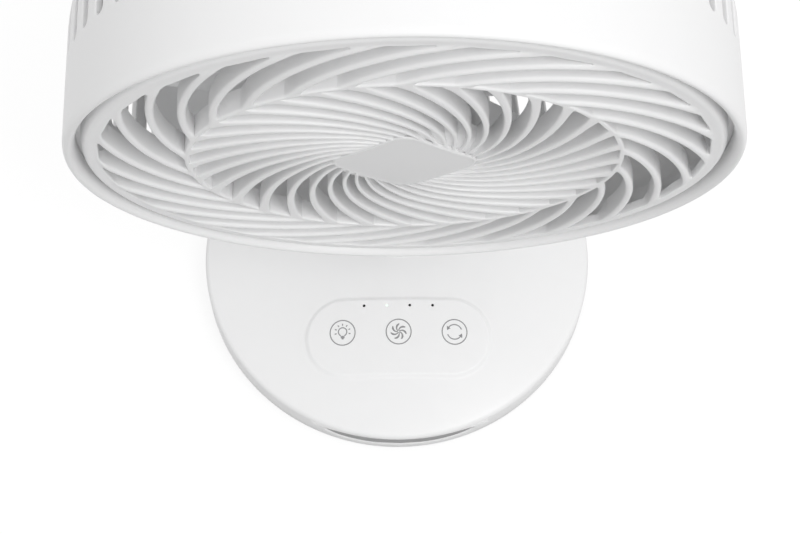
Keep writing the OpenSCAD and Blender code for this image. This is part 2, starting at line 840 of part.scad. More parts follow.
module head_knuckle() {
    color("white") in_head() difference() {
        union() {
            intersection() {
                difference() {
                    rotate_extrude() head_outline(-saddle_t);
                    rotate_extrude() head_outline(-fit);
                }
                translate([-saddle_x, 0, lip_ahead - saddle_s])
                    cube([2 * saddle_x, lip_r + 20, 2 * saddle_s]);
            }
            difference() {
                translate([-knuckle_w / 2, lip_r - 20, lip_ahead - knuckle_r])
                    cube([knuckle_w, axis_drop - lip_r + 20, 2 * knuckle_r]);
                rotate_extrude() head_outline(-fit);
            }
            at_hinge(knuckle_w) cylinder(r = knuckle_r, h = knuckle_w);
        }
        at_hinge(60) cylinder(d = bolt_d + 2 * fit, h = 60);
        at_saddle_screws() {
            disc(tap_d / 2 + 0.15, lip_r - 40, lip_r + 20);
            disc(2.6, side_r(lip_ahead + saddle_screw_s) + saddle_t, lip_r + 20);
        }
        translate([0, 0, lead_s]) rotate([-90, 0, 0]) disc(lead_bore, lip_r - 40, axis_drop + 20);
    }
}
module at_hinge(w) {
    translate([-w / 2, axis_drop, lip_ahead]) rotate([0, 90, 0]) children();
}
module knuckle_screws() {
    color("silver") in_head() for (x = [-1, 1], s = [-1, 1])
        translate([x * saddle_screw_x, saddle_seat(s), lip_ahead + s * saddle_screw_s])
            rotate([-90, 0, 0]) screw(tap_d, saddle_t + tap_short - 0.5, tap_head_d, tap_head_h - 0.2);
}
// Height of a saddle screw's seat: where its head clears the curved saddle.
function saddle_seat(s) = s > 0
    ? side_r(lip_ahead + saddle_screw_s) + saddle_t
    : sqrt(pow(side_r(lip_ahead - saddle_screw_s) + saddle_t, 2) - pow(saddle_screw_x - 2.4, 2)) + 0.1;

// ---- grille
// Point at radius r and angle a, as seen from the front with angles running anticlockwise.
function seen(r, a) = [r * cos(a), -r * sin(a)];
module fin(r0, r1, curl, sweep, phase, half, steps) {
    function turn(r) = phase + curl * ln(r / ring_r) * rad + sweep * (r - ring_r);
    radii = [for (i = [0:steps]) r0 * pow(r1 / r0, i / steps)];
    polygon(concat([for (r = radii) seen(r, turn(r) - half)],
                   [for (i = [steps:-1:0]) seen(radii[i], turn(radii[i]) + half)]));
}
module front_grille() {
    fin_end = fin_s + fin_depth;
    color("whitesmoke") in_head() {
        ring(rim_r, rim_in_r, 1, 3.2);
        ring(rim_r, rim_r - 0.9, 0.5, 1.2);
        ring(rim_r, rim_r - 1.8, 1, ledge_s);
        ring(side_r(ledge_s) - drum_wall - ease, rim_r - 1.8, ledge_s - 1.8, ledge_s);
        ring(ring_r + 0.8, ring_r - 0.8, fin_s, fin_end);
        disc(hub_disc_r, 2.2, 5.4);
        translate([0, 0, fin_s]) linear_extrude(fin_depth) {
            for (k = [0:inner_fins - 1])
                fin(fin_in_r, ring_r - 0.2, inner_curl, 0, inner_phase + k * 360 / inner_fins,
                    0.16 * 360 / inner_fins, 6);
            for (k = [0:outer_fins - 1])
                fin(ring_r + 0.2, rim_in_r + 0.6, 0, outer_sweep, outer_phase + k * 360 / outer_fins,
                    0.14 * 360 / outer_fins, 5);
        }
    }
}
module centre_badge() {
    corner = 7;
    reach = badge_d / 2 - corner;
    crown = 1.2;
    rings = 6;
    function sag(i) = crown * pow(i / rings, 2);
    color("white") in_head() intersection() {
        translate([0, 0, -1]) linear_extrude(fin_s + 1) rotate(45) {
            square([reach * sqrt(2) + 2 * corner, reach * sqrt(2)], center = true);
            square([reach * sqrt(2), reach * sqrt(2) + 2 * corner], center = true);
            for (x = [-1, 1], y = [-1, 1]) translate([x, y] * reach / sqrt(2)) circle(r = corner);
        }
        rotate_extrude() polygon(concat(
            [for (i = [0:rings]) [i / rings * (badge_d / 2 + 1), badge_front + sag(i)]],
            [[badge_d / 2 + 1, 5], [0, 5]]));
    }
}

// ---- rear of the head
module rear_cover() {
    back_r = flat_r + 8;
    out_r = side_r(seam_s + cover_land);
    share = vent_w / (2 * PI * side_r(vent_end) / vents) * vent_pitch / 2;
    function off_arm(a) = let (d = (a + 270) % (360 / arms)) min(d, 360 / arms - d);
    function slot_r(a) = off_arm(a) < vent_pitch ? cover_screw_r - 5 : out_r;
    color("white") in_head() difference() {
        union() {
            difference() {
                drum_solid();
                drum_hollow();
                translate([0, 0, seam_s + 6]) linear_extrude(100)
                    for (k = [0:vents - 1]) let (a = (k + 0.5) * vent_pitch, r = slot_r(a)) rotate(a)
                        polygon([back_r * [cos(share), -sin(share)], r * [cos(share), -sin(share)],
                                 r * [cos(share), sin(share)], back_r * [cos(share), sin(share)]]);
            }
            intersection() {
                at_arms() translate([lug_r, -lug_w / 2, seam_s]) cube([30, lug_w, 8]);
                rotate_extrude() head_outline(drum_wall / 2);
            }
        }
        translate([0, 0, -10]) cylinder(r = lip_r + 10, h = seam_s + 10);
        at_arms() translate([cover_screw_r, 0, 0]) {
            disc(tap_d / 2 + fit, 0, 100);
            disc(2.6, seam_s + cover_land, 200);
        }
    }
}
module cover_screws() {
    color("silver") in_head() at_arms() translate([cover_screw_r, 0, seam_s + cover_land])
        screw(tap_d, cover_land + 7, tap_head_d, tap_head_h);
}
module motor_mount() {
    color("gainsboro") in_head() difference() {
        union() {
            disc(30, mount_s, mount_s + mount_t);
            disc(tube_r, front_bearing_s - 1, mount_s + mount_t);
            at_arms() translate([25, -arm_w / 2, mount_s]) cube([arm_end - 25, arm_w, mount_t]);
        }
        disc(shaft_d / 2 + 1, 0, 100);
        disc(bearing_r + fit / 2, 0, front_bearing_s + bearing_w);
        disc(bearing_r + fit / 2, mount_s + mount_t - bearing_w, 100);
        at_arms() translate([mount_screw_r, 0, 0]) disc(tap_d / 2 + 0.15, 0, 100);
        at_stator_feet() disc(1.1, 0, 100);
    }
}
module at_stator_feet() { for (a = [0:90:270]) rotate(a) translate([20, 0, 0]) children(); }
module mount_screws() {
    color("silver") in_head() at_arms() translate([mount_screw_r, 0, mount_s])
        rotate([180, 0, 0]) screw(tap_d, mount_t + tap_bite, tap_head_d, tap_head_h);
}
module motor_stator() {
    s0 = rotor_s + 5;
    poles = 9;
    color("peru") in_head() {
        difference() {
            disc(stator_r - 6, s0, s0 + 13);
            disc(tube_r + fit, 0, 100);
        }
        for (k = [0:poles - 1]) rotate(k * 360 / poles) {
            translate([stator_r - 7, -2.6, s0 + 0.5]) cube([5.4, 5.2, 12]);
            translate([stator_r - 1.8, -4.6, s0 + 2]) cube([1.4, 9.2, 9]);
        }
    }
}
module shaft_bearings() {
    color("silver") in_head() for (s = [front_bearing_s, mount_s + mount_t - bearing_w])
        ring(bearing_r, shaft_d / 2 + fit, s, s + bearing_w);
}
module driver_board() {
    gap = 2;
    color("darkgreen") in_head() {
        difference() {
            union() {
                disc(26, mount_s + mount_t + gap, mount_s + mount_t + gap + board_t);
                translate([-5, 12, mount_s + mount_t + gap + board_t - eps]) cube([10, 7, 3.5]);
            }
            disc(9, 0, 100);
            at_stator_feet() disc(1.1, 0, 100);
        }
        at_stator_feet() disc(1, mount_s + 0.5, mount_s + mount_t + gap + board_t + 0.8);
        at_stator_feet() ring(2, 1, mount_s + mount_t, mount_s + mount_t + gap);
    }
}
// The cable runs beside the lowest arm, then forward and down through the knuckle.
module head_lead() {
    beside = arm_w / 2 + lead_r + 0.7;
    run_s = mount_s + mount_t / 2;
    turn_y = floor(side_r(run_s) - drum_wall - lead_r - 4);
    path = [[beside, 31, run_s], [beside, turn_y + 1, run_s], [beside, turn_y + 3, lead_s + 3.7],
            [0, turn_y + 4, lead_s], [0, round(axis_drop - 5), lead_s]];
    color("dimgray") in_head() {
        for (i = [0:3]) rod(path[i], path[i + 1]);
        for (i = [1:3]) translate(path[i]) sphere(r = lead_r + fit, $fn = 32);
    }
}
module rod(a, b) {
    v = b - a;
    l = norm(v);
    translate(a) rotate([0, acos(v[2] / l), atan2(v[1], v[0])]) cylinder(r = lead_r, h = l, $fn = 32);
}

// ---- fan, turning about the head's axis
module impeller() {
    spoke_r = impeller_hub_r - hub_wall + 1;
    color("aliceblue") in_head() {
        difference() {
            disc(impeller_hub_r, hub_s, hub_s + hub_len);
            disc(impeller_hub_r - hub_wall, hub_s + hub_wall, 100);
            disc(shaft_d / 2 + fit / 2, 0, 100);
        }
        ring(7, shaft_d / 2 + fit / 2, hub_s, rotor_s);
        ring(rotor_r + fit, rotor_r - 4, rotor_s - 1.2, rotor_s);
        for (k = [0:3]) rotate(k * 90 + 45) translate([6, -1, hub_s + 1])
            cube([spoke_r - 6, 2, rotor_s - hub_s - 1]);
        for (k = [0:blades - 1]) difference() {
            intersection() {
                rotate(k * 360 / blades) blade();
                disc(impeller_r, blade_s, blade_s + blade_len);
            }
            disc(impeller_hub_r - 1, 0, 100);
        }
    }
}
// One cambered blade. Its hollow side faces forwards and along the way it turns.
module blade() {
    translate([0, 0, blade_s + blade_len / 2]) rotate([90, 0, 90]) linear_extrude(impeller_r + 2)
        rotate(blade_lean) translate([0, -camber_r]) intersection() {
            difference() {
                circle(r = camber_r + blade_t / 2);
                circle(r = camber_r - blade_t / 2);
            }
            translate([-blade_chord / 2, 10]) square([blade_chord, camber_r]);
        }
}
module impeller_nut() {
    color("silver") in_head() difference() {
        disc(5, hub_s - 2.8, hub_s);
        disc(shaft_d / 2 + fit, 0, 50);
    }
}
module motor_rotor() {
    color("gray") in_head() {
        ring(rotor_r, shaft_d / 2 + fit / 2, rotor_s, rotor_s + 1.5);
        ring(rotor_r, rotor_r - 1.2, rotor_s + 1, rotor_s + rotor_len);
        ring(rotor_r - 1, rotor_r - 2.4, rotor_s + 4, rotor_s + rotor_len - 1);
    }
}
module motor_shaft() {
    color("silver") in_head() disc(shaft_d / 2, hub_s - 3.2, mount_s + mount_t - 0.3);
}

rubber_pad();
base_lower_shell();
base_upper_shell();
base_screws();
ballast_plate();
battery_cells();
control_board();
board_screws();
touch_springs();
indicator_leds();
light_guide();
night_light_lens();
night_light_board();
charge_board();
usb_socket();
thrust_washer();
swivel_motor();
motor_ear_screws();
pinion_shaft();
swivel_pinion();
turntable();
retaining_ring();
hub_screws();
neck_front_shell();
neck_rear_shell();
neck_screws();
tilt_bolt();
tilt_nut();
spring_washer();
friction_washers();
hinge_caps();
neck_lead();
head_knuckle();
knuckle_screws();
drum_housing();
front_grille();
centre_badge();
rear_cover();
cover_screws();
motor_mount();
mount_screws();
motor_stator();
shaft_bearings();
driver_board();
head_lead();
impeller();
impeller_nut();
motor_rotor();
motor_shaft();
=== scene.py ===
import json
import math

import bmesh
import bpy
import numpy as np
from mathutils import Matrix, Vector
from mathutils.geometry import delaunay_2d_cdt


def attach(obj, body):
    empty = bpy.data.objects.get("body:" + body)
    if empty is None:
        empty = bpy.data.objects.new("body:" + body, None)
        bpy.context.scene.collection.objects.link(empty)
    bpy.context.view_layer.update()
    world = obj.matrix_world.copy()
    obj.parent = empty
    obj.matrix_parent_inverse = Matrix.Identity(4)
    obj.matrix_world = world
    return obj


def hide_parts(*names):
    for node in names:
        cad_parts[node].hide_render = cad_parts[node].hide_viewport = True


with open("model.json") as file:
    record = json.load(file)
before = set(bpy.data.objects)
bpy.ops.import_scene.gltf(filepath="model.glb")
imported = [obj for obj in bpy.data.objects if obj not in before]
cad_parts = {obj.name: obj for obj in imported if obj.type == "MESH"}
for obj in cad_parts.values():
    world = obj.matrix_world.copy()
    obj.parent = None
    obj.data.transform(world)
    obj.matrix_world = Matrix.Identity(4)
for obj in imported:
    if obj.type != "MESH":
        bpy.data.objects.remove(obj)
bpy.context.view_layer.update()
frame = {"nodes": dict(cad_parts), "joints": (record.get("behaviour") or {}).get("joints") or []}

node = frame["nodes"]
joint = {j["name"]: j for j in frame["joints"]}
scene = bpy.context.scene

# ---- Camera ---------------------------------------------------------------------------
# A long lens looks down on the fan from the front, so that the drum's rim, the swirl of
# the grille and the touch pad on the base are all in view.
camera = bpy.data.objects.new("camera", bpy.data.cameras.new("camera"))
scene.collection.objects.link(camera)
camera.location = (-0.0111, -0.2867, 0.7095)
camera.rotation_euler = [math.radians(a) for a in (21.99, -0.695, -0.76)]
camera.data.lens = 83.7
camera.data.sensor_width = 36
scene.camera = camera

# ---- Table top, room and lamps --------------------------------------------------------
# A white table top in an evenly white room, with one broad lamp high on the right and two
# weaker ones, in front and at the side. Nothing here is part of the fan.
scene.view_settings.view_transform = "Standard"
white = (1, 1, 1, 1)


def added(nodes, kind, values=None, operation=None):
    """A new node, with its sockets set by name or by number."""
    new = nodes.new(kind)
    if operation:
        new.operation = operation
    for socket, value in (values or {}).items():
        new.inputs[socket].default_value = value
    return new


def bare_tree(owner):
    """Nodes and links of a material or world, emptied."""
    owner.use_nodes = True
    owner.node_tree.nodes.clear()
    return owner.node_tree.nodes, owner.node_tree.links


def joined(links, *joins):
    """Wire nodes together: (from node, its output, to node, its input)."""
    for source, out, target, into in joins:
        links.new(source.outputs[out], target.inputs[into])


def clear_view_ray(nodes, links):
    """Node that gives 1 for rays that see the room: from the camera, in a gloss or through glass."""
    path = nodes.new("ShaderNodeLightPath")
    seen, output = path, "Is Camera Ray"
    for ray in ("Is Glossy Ray", "Is Transmission Ray"):
        either = added(nodes, "ShaderNodeMath", operation="MAXIMUM")
        joined(links, (seen, output, either, 0), (path, ray, either, 1))
        seen, output = either, 0
    return seen


def white_room(light):
    """World light of the given strength, which the camera sees as plain white."""
    scene.world = bpy.data.worlds.new("white_room")
    nodes, links = bare_tree(scene.world)
    room = added(nodes, "ShaderNodeBackground", {"Color": white, "Strength": light})
    backdrop = added(nodes, "ShaderNodeBackground", {"Color": white, "Strength": 1})
    path = nodes.new("ShaderNodeLightPath")
    pick = nodes.new("ShaderNodeMixShader")
    out = nodes.new("ShaderNodeOutputWorld")
    joined(links, (path, "Is Camera Ray", pick, "Fac"), (room, 0, pick, 1), (backdrop, 0, pick, 2),
           (pick, 0, out, "Surface"))


def table_top(half, paint, lift):
    """A square white top, which glows by lift where a clear view of it is taken."""
    mesh = bpy.data.meshes.new("table_top")
    corners = [(-half, -half, 0), (half, -half, 0), (half, half, 0), (-half, half, 0)]
    mesh.from_pydata([Vector(c) for c in corners], [], [(0, 1, 2, 3)])
    top = bpy.data.objects.new("table_top", mesh)
    scene.collection.objects.link(top)
    mat = bpy.data.materials.new("table_white")
    nodes, links = bare_tree(mat)
    matt = added(nodes, "ShaderNodeBsdfDiffuse", {"Color": (paint, paint, paint, 1)})
    glow = added(nodes, "ShaderNodeEmission", {"Color": white})
    strength = added(nodes, "ShaderNodeMath", {1: lift}, "MULTIPLY")
    both = nodes.new("ShaderNodeAddShader")
    out = nodes.new("ShaderNodeOutputMaterial")
    joined(links, (clear_view_ray(nodes, links), 0, strength, 0), (strength, 0, glow, "Strength"),
           (matt, 0, both, 0), (glow, 0, both, 1), (both, 0, out, "Surface"))
    mesh.materials.append(mat)


def soft_box(name, place, towards, size, power):
    """A square lamp that faces a point."""
    lamp = bpy.data.lights.new(name, "AREA")
    lamp.shape = "SQUARE"
    lamp.size = size
    lamp.energy = power
    lamp_object = bpy.data.objects.new(name, lamp)
    lamp_object.location = place
    aim = Vector(towards) - Vector(place)
    lamp_object.rotation_euler = aim.to_track_quat("-Z", "Y").to_euler()
    scene.collection.objects.link(lamp_object)


lamp_size, lamp_aim = 0.6, (0, 0, 0.15)
white_room(0.84)
table_top(4.0, 0.25, 0.78)
soft_box("lamp_key", (0.7, -0.75, 1.5), lamp_aim, lamp_size, 6.5)
soft_box("lamp_front", (0.1, -1.25, 1.3), lamp_aim, lamp_size, 1.5)
soft_box("lamp_right", (1.2, -0.3, 1.2), lamp_aim, lamp_size, 1)

# ---- Rubber pad -----------------------------------------------------------------------
# The soft disc that the fan stands on, die-cut from grey rubber sheet with two grooves
# and glued into the recess of the bottom plate.


def grained(name, colour, roughness, grain, depth, tint=0.03, metal=0.0):
    """A finish with a faint mottle in its colour and gloss and a fine surface grain."""
    mottle_size, gloss_spread, grit_height = 0.06, 0.04, 0.0001
    mat = bpy.data.materials.new(name)
    mat.use_nodes = True
    nodes, links = mat.node_tree.nodes, mat.node_tree.links
    skin = nodes["Principled BSDF"]
    skin.inputs["Metallic"].default_value = metal
    where = nodes.new("ShaderNodeTexCoord")
    mottle = added(nodes, "ShaderNodeTexNoise", {"Scale": grain * mottle_size, "Detail": 3})
    shade = added(nodes, "ShaderNodeMapRange", {"To Min": 1 - tint, "To Max": 1 + tint})
    mixed = added(nodes, "ShaderNodeVectorMath", {0: colour}, "SCALE")
    gloss = added(nodes, "ShaderNodeMapRange", {"To Min": roughness - gloss_spread,
                                                "To Max": roughness + gloss_spread})
    grit = added(nodes, "ShaderNodeTexNoise", {"Scale": grain, "Detail": 2})
    bump = added(nodes, "ShaderNodeBump", {"Strength": depth, "Distance": grit_height})
    joined(links, (where, "Object", mottle, "Vector"), (where, "Object", grit, "Vector"),
           (mottle, "Fac", shade, "Value"), (shade, "Result", mixed, "Scale"),
           (mixed, "Vector", skin, "Base Color"), (mottle, "Fac", gloss, "Value"),
           (gloss, "Result", skin, "Roughness"), (grit, "Fac", bump, "Height"),
           (bump, "Normal", skin, "Normal"))
    return mat


def finish(mat, *names):
    """Give carried-over parts their finish."""
    for name in names:
        node[name].data.materials.clear()
        node[name].data.materials.append(mat)


rubber = grained("pad_rubber", (0.12, 0.12, 0.125), 0.75, 2600, 0.5, 0.12)
finish(rubber, "rubber_pad", "friction_washers")

# ---- Bottom plate, ballast and screws -------------------------------------------------
# A white moulded plate carries everything inside the base. A black steel plate lies on
# it as ballast, and zinc-plated screws hold the upper shell from below.
plate_plastic = grained("plate_plastic", (0.84, 0.84, 0.843), 0.55, 1500, 0.4, 0.02)
finish(plate_plastic, "base_lower_shell", "motor_mount")
black_steel = grained("ballast_steel", (0.05, 0.052, 0.056), 0.5, 900, 0.5, 0.25, metal=0.9)
finish(black_steel, "ballast_plate")
zinc = grained("zinc_plate", (0.62, 0.63, 0.66), 0.32, 3200, 0.2, 0.06, metal=1.0)
finish(zinc, "base_screws", "board_screws", "motor_ear_screws", "pinion_shaft", "retaining_ring",
       "hub_screws", "neck_screws", "tilt_bolt", "tilt_nut", "spring_washer", "knuckle_screws",
       "cover_screws", "mount_screws", "shaft_bearings", "impeller_nut", "motor_shaft", "usb_socket")

# ---- Cells, boards, springs and lights ------------------------------------------------
# Two foil pouch cells, green circuit boards, gold-plated touch springs under the keys,
# and a clear light guide with four pins, one of them lit.
finish(grained("cell_foil", (0.16, 0.3, 0.5), 0.35, 700, 0.6, 0.1, metal=0.3), "battery_cells")
finish(grained("solder_mask", (0.02, 0.13, 0.06), 0.4, 1200, 0.3, 0.1),
       "control_board", "charge_board", "driver_board", "night_light_board")
finish(grained("gold_plate", (0.75, 0.55, 0.2), 0.3, 3000, 0.2, 0.06, metal=1.0), "touch_springs")
finish(grained("led_resin", (0.6, 0.8, 0.6), 0.2, 3000, 0.1, 0.04), "indicator_leds")

led_pitch = 0.009


def lit_pin(mat, middle, half, glow_colour, strength):
    """Let the finish glow within a narrow band of X, where the lit pin stands."""
    nodes, links = mat.node_tree.nodes, mat.node_tree.links
    skin = nodes["Principled BSDF"]
    where = nodes.new("ShaderNodeTexCoord")
    axes = nodes.new("ShaderNodeSeparateXYZ")
    near = added(nodes, "ShaderNodeMath", {1: middle, 2: half}, "COMPARE")
    glow = added(nodes, "ShaderNodeMath", {1: strength}, "MULTIPLY")
    skin.inputs["Emission Color"].default_value = glow_colour
    joined(links, (where, "Object", axes, "Vector"), (axes, "X", near, 0), (near, 0, glow, 0),
           (glow, 0, skin, "Emission Strength"))


pin_plastic = grained("light_pin_plastic", (0.012, 0.013, 0.013), 0.25, 3000, 0.1, 0.2)
lit_pin(pin_plastic, -led_pitch / 2, led_pitch / 4, (0.86, 1.0, 0.9, 1), 1.1)
finish(pin_plastic, "light_guide")

# ---- Swivel drive ---------------------------------------------------------------------
# A flat geared motor with a plated can turns the turntable through a pinion. The gears
# and the thrust washer are natural nylon.
can = grained("plated_can", (0.5, 0.51, 0.53), 0.38, 1600, 0.25, 0.08, metal=0.9)
finish(can, "swivel_motor", "motor_rotor")
finish(grained("nylon", (0.75, 0.72, 0.62), 0.5, 1400, 0.3, 0.04),
       "turntable", "swivel_pinion", "thrust_washer")

# ---- Upper shell of the base ----------------------------------------------------------
# The domed white cover, injection moulded in one piece with the raised touch pad and the
# collar round the turntable. Four screws from below hold it to the bottom plate.
MM = 0.001
base_r = node["base_upper_shell"].dimensions.x / 2 / MM
base_h = 25.0
dome_rise = 12.0
dome_r = (base_r ** 2 + dome_rise ** 2) / (2 * dome_rise)
shell_wall = 2.0
skirt_z = 0.8
shoulder, inner_shoulder = 2.5, 0.5
shoulder_z = base_h - dome_r + math.sqrt((dome_r - shoulder) ** 2 - (base_r - shoulder) ** 2)
pad_l, pad_w, pad_rise, pad_y = 73.4, 31.6, 1.0, -38.8
pad_slope = 2.4
led_y, led_r = -26.4, 0.55
led_x = [k * led_pitch / MM for k in (-1.5, -0.5, 0.5, 1.5)]
swivel_y = joint["swivel"]["pos_m"][1] / MM
mouth_r, collar_r, collar_top = 19.7, 24.0, 26.3
slot_length, slot_height, slot_low = 59.0, 5.9, 4.9
usb_w, usb_h, usb_z = 9.44, 3.76, 8.83
columns, collar_points, pin_points, spacing = 360, 120, 20, 2.6

shell_plastic = grained("shell_plastic", (0.88, 0.88, 0.882), 0.34, 2200, 0.08, 0.008)


def dome_z(x, y):
    return base_h - dome_r + np.sqrt(dome_r ** 2 - np.square(x) - np.square(y))


def pad_edge(x, y):
    """Distance in from the outline of the touch pad; negative outside it."""
    core = (pad_l - pad_w) / 2
    along = np.clip(x, -core, core)
    return pad_w / 2 - np.hypot(x - along, y - pad_y)


def shell_top(x, y):
    """Height of the moulded top: the dome with the pad risen out of it."""
    t = np.clip((pad_edge(x, y) + 0.3 * pad_slope) / pad_slope, 0, 1)
    return dome_z(x, y) + pad_rise * t ** 3 * (t * (t * 6 - 15) + 10)


def full_turn(count):
    return np.arange(count) * 2 * math.pi / count


def ring_points(r, count, x=0.0, y=0.0):
    turn = full_turn(count)
    return np.column_stack([x + r * np.cos(turn), y + r * np.sin(turn)])


def stadium_points(length, width, y, count):
    """Points spaced evenly round a stadium."""
    core, r = (length - width) / 2, width / 2
    total = 4 * core + 2 * math.pi * r
    out = []
    for t in np.arange(count) / count * total:
        if t < 2 * core:
            out.append((core - t, y + r))
        elif t < 2 * core + math.pi * r:
            a = math.pi / 2 + (t - 2 * core) / r
            out.append((-core + r * math.cos(a), y + r * math.sin(a)))
        elif t < 4 * core + math.pi * r:
            out.append((-core + t - 2 * core - math.pi * r, y - r))
        else:
            a = -math.pi / 2 + (t - 4 * core - math.pi * r) / r
            out.append((core + r * math.cos(a), y + r * math.sin(a)))
    return np.array(out)


def sheet(loops, loose, keep):
    """Triangles between closed loops and loose points in the plane, where keep is true."""
    points, edges = [], []
    for loop in loops:
        first, count = len(points), len(loop)
        points += [Vector(p) for p in loop]
        edges += [(first + i, first + (i + 1) % count) for i in range(count)]
    points += [Vector(p) for p in loose]
    flat, _, faces, _, _, _ = delaunay_2d_cdt(points, edges, [], 0, 1e-6)
    flat = np.array([tuple(p) for p in flat])
    middle = np.array([flat[list(f)].mean(0) for f in faces])
    inside = keep(middle[:, 0], middle[:, 1])
    return flat, [tuple(f) for f, ok in zip(faces, inside) if ok]


def raised(flat, height):
    return np.column_stack([flat, height(flat[:, 0], flat[:, 1])])


def band(rows, closed=True):
    """Quads between neighbouring rows of points."""
    rows = np.asarray(rows, float)
    n, m = rows.shape[:2]
    last = m if closed else m - 1
    faces = [(i * m + j, i * m + (j + 1) % m, (i + 1) * m + (j + 1) % m, (i + 1) * m + j)
             for i in range(n - 1) for j in range(last)]
    return rows.reshape(-1, 3), faces


def round_edge(radius, steps):
    """(in, down) pairs along a quarter of a circle that rolls an edge over."""
    turn = np.linspace(0, math.pi / 2, steps + 1)
    return [(radius * (1 - math.sin(a)), radius * (1 - math.cos(a))) for a in turn]


def moulding(parts):
    """A mesh in metres from (points in mm, faces) pairs."""
    points = np.vstack([p for p, _ in parts]) * MM
    faces, first = [], 0
    for p, f in parts:
        faces += [tuple(int(i) + first for i in face) for face in f]
        first += len(p)
    mesh = bpy.data.meshes.new("moulding")
    mesh.from_pydata(points.tolist(), [], faces)
    return mesh


def assembled(name, meshes, mat, body, replaced, place=None):
    """Merge the meshes of one piece, shade it, and hang it on its body."""
    crease = math.radians(32)
    bm = bmesh.new()
    for mesh in meshes:
        bm.from_mesh(mesh)
    bmesh.ops.remove_doubles(bm, verts=bm.verts, dist=3e-6)
    bmesh.ops.dissolve_degenerate(bm, dist=1e-7, edges=bm.edges)
    bmesh.ops.recalc_face_normals(bm, faces=bm.faces)
    done = bpy.data.meshes.new(name)
    bm.to_mesh(done)
    bm.free()
    if place is not None:
        done.transform(place)
    done.materials.clear()
    done.materials.append(mat)
    for face in done.polygons:
        face.material_index = 0
    done.shade_smooth()
    done.set_sharp_from_angle(angle=crease)
    piece = bpy.data.objects.new(name, done)
    scene.collection.objects.link(piece)
    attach(piece, body)
    if replaced:
        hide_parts(*replaced)


def read_back(maker):
    """The mesh that a helper object's modifier makes; the helper goes."""
    seen = maker.evaluated_get(bpy.context.evaluated_depsgraph_get())
    mesh = bpy.data.meshes.new_from_object(seen)
    bpy.data.objects.remove(maker)
    return mesh


def turned(name, mesh, copies, step, first, mat):
    """A ring of copies of a mesh about Z, made by a node tree and read back as one mesh."""
    tree = bpy.data.node_groups.new(name, "GeometryNodeTree")
    face = tree.interface
    wanted = {"Copies": copies, "Step": math.radians(step), "First": math.radians(first), "Finish": mat}
    for label, kind in zip(["Part", *wanted], ("Geometry", "Int", "Float", "Float", "Material")):
        face.new_socket(label, in_out="INPUT", socket_type="NodeSocket" + kind)
    face.new_socket("Ring", in_out="OUTPUT", socket_type="NodeSocketGeometry")
    nodes, links = tree.nodes, tree.links
    given, out = nodes.new("NodeGroupInput"), nodes.new("NodeGroupOutput")
    single = nodes.new("GeometryNodeGeometryToInstance")
    many = nodes.new("GeometryNodeDuplicateElements")
    many.domain = "INSTANCE"
    angle = added(nodes, "ShaderNodeMath", operation="MULTIPLY_ADD")
    about_z = nodes.new("ShaderNodeCombineXYZ")
    turn = added(nodes, "GeometryNodeRotateInstances", {"Local Space": False})
    real = nodes.new("GeometryNodeRealizeInstances")
    paint = nodes.new("GeometryNodeSetMaterial")
    joined(links, (given, "Part", single, 0), (single, 0, many, "Geometry"),
           (given, "Copies", many, "Amount"), (many, "Duplicate Index", angle, 0), (given, "Step", angle, 1),
           (given, "First", angle, 2), (angle, 0, about_z, "Z"), (many, "Geometry", turn, "Instances"),
           (about_z, 0, turn, "Rotation"), (turn, 0, real, 0), (real, 0, paint, "Geometry"),
           (given, "Finish", paint, "Material"), (paint, 0, out, 0))
    maker = bpy.data.objects.new(name, mesh)
    scene.collection.objects.link(maker)
    modifier = maker.modifiers.new("ring", "NODES")
    modifier.node_group = tree
    sockets = {item.name: item.identifier for item in face.items_tree if item.in_out == "INPUT"}
    for label, value in wanted.items():
        modifier[sockets[label]] = value
    return read_back(maker)


def outset(loop, by):
    """A closed anticlockwise loop in the plane, moved outwards."""
    loop = np.asarray(loop, float)
    along = np.roll(loop, -1, 0) - np.roll(loop, 1, 0)
    along /= np.linalg.norm(along, axis=1)[:, None]
    return loop + by * np.column_stack([along[:, 1], -along[:, 0]])


def within(x, y, loop):
    """True for points inside a closed loop."""
    x, y = np.asarray(x), np.asarray(y)
    inside = np.zeros(x.shape, bool)
    for (x0, y0), (x1, y1) in zip(loop, np.roll(loop, -1, 0)):
        if y0 == y1:
            continue
        crosses = (y0 > y) != (y1 > y)
        inside ^= crosses & (x < (x1 - x0) * (y - y0) / (y1 - y0) + x0)
    return inside


def pierced_wall(outline, middle, half, rows, roll):
    """Both skins of a stretch of the skirt with a hole through it, in unrolled coordinates."""
    across = np.radians(np.arange(-half, half + 1)) * base_r
    border = [(u, rows[0]) for u in across] + [(across[-1], z) for z in rows[1:-1]]
    border += [(u, rows[-1]) for u in across[::-1]] + [(across[0], z) for z in rows[-2:0:-1]]
    edge = round_edge(roll, 4)
    wide = outset(outline, edge[0][0])
    rings = [border, outset(wide, 0.7), wide]
    flat, faces = sheet(rings, [], lambda u, z: ~within(u, z, wide))

    def rolled_up(flat, r):
        turn = np.asarray(flat)[:, 0] / base_r + math.radians(middle)
        return np.column_stack([r * np.cos(turn), r * np.sin(turn), np.asarray(flat)[:, 1]])

    inner_r = base_r - shell_wall
    lip = [rolled_up(outset(outline, out), base_r - down) for out, down in edge]
    lip.append(rolled_up(outline, inner_r))
    back, back_faces = sheet([border, outline], [], lambda u, z: ~within(u, z, outline))
    return [(rolled_up(flat, base_r), faces), band(lip), (rolled_up(back, inner_r), back_faces)]


def night_slot(count=120, fullness=0.42):
    """Outline of the night light's slot in the unrolled skirt: a long lens with round ends."""
    turn = full_turn(count)
    half = base_r * math.asin(slot_length / 2 / base_r)
    u = half * np.sign(np.cos(turn)) * np.abs(np.cos(turn)) ** fullness
    return np.column_stack([u, slot_low + slot_height / 2 * (1 + np.sin(turn))])


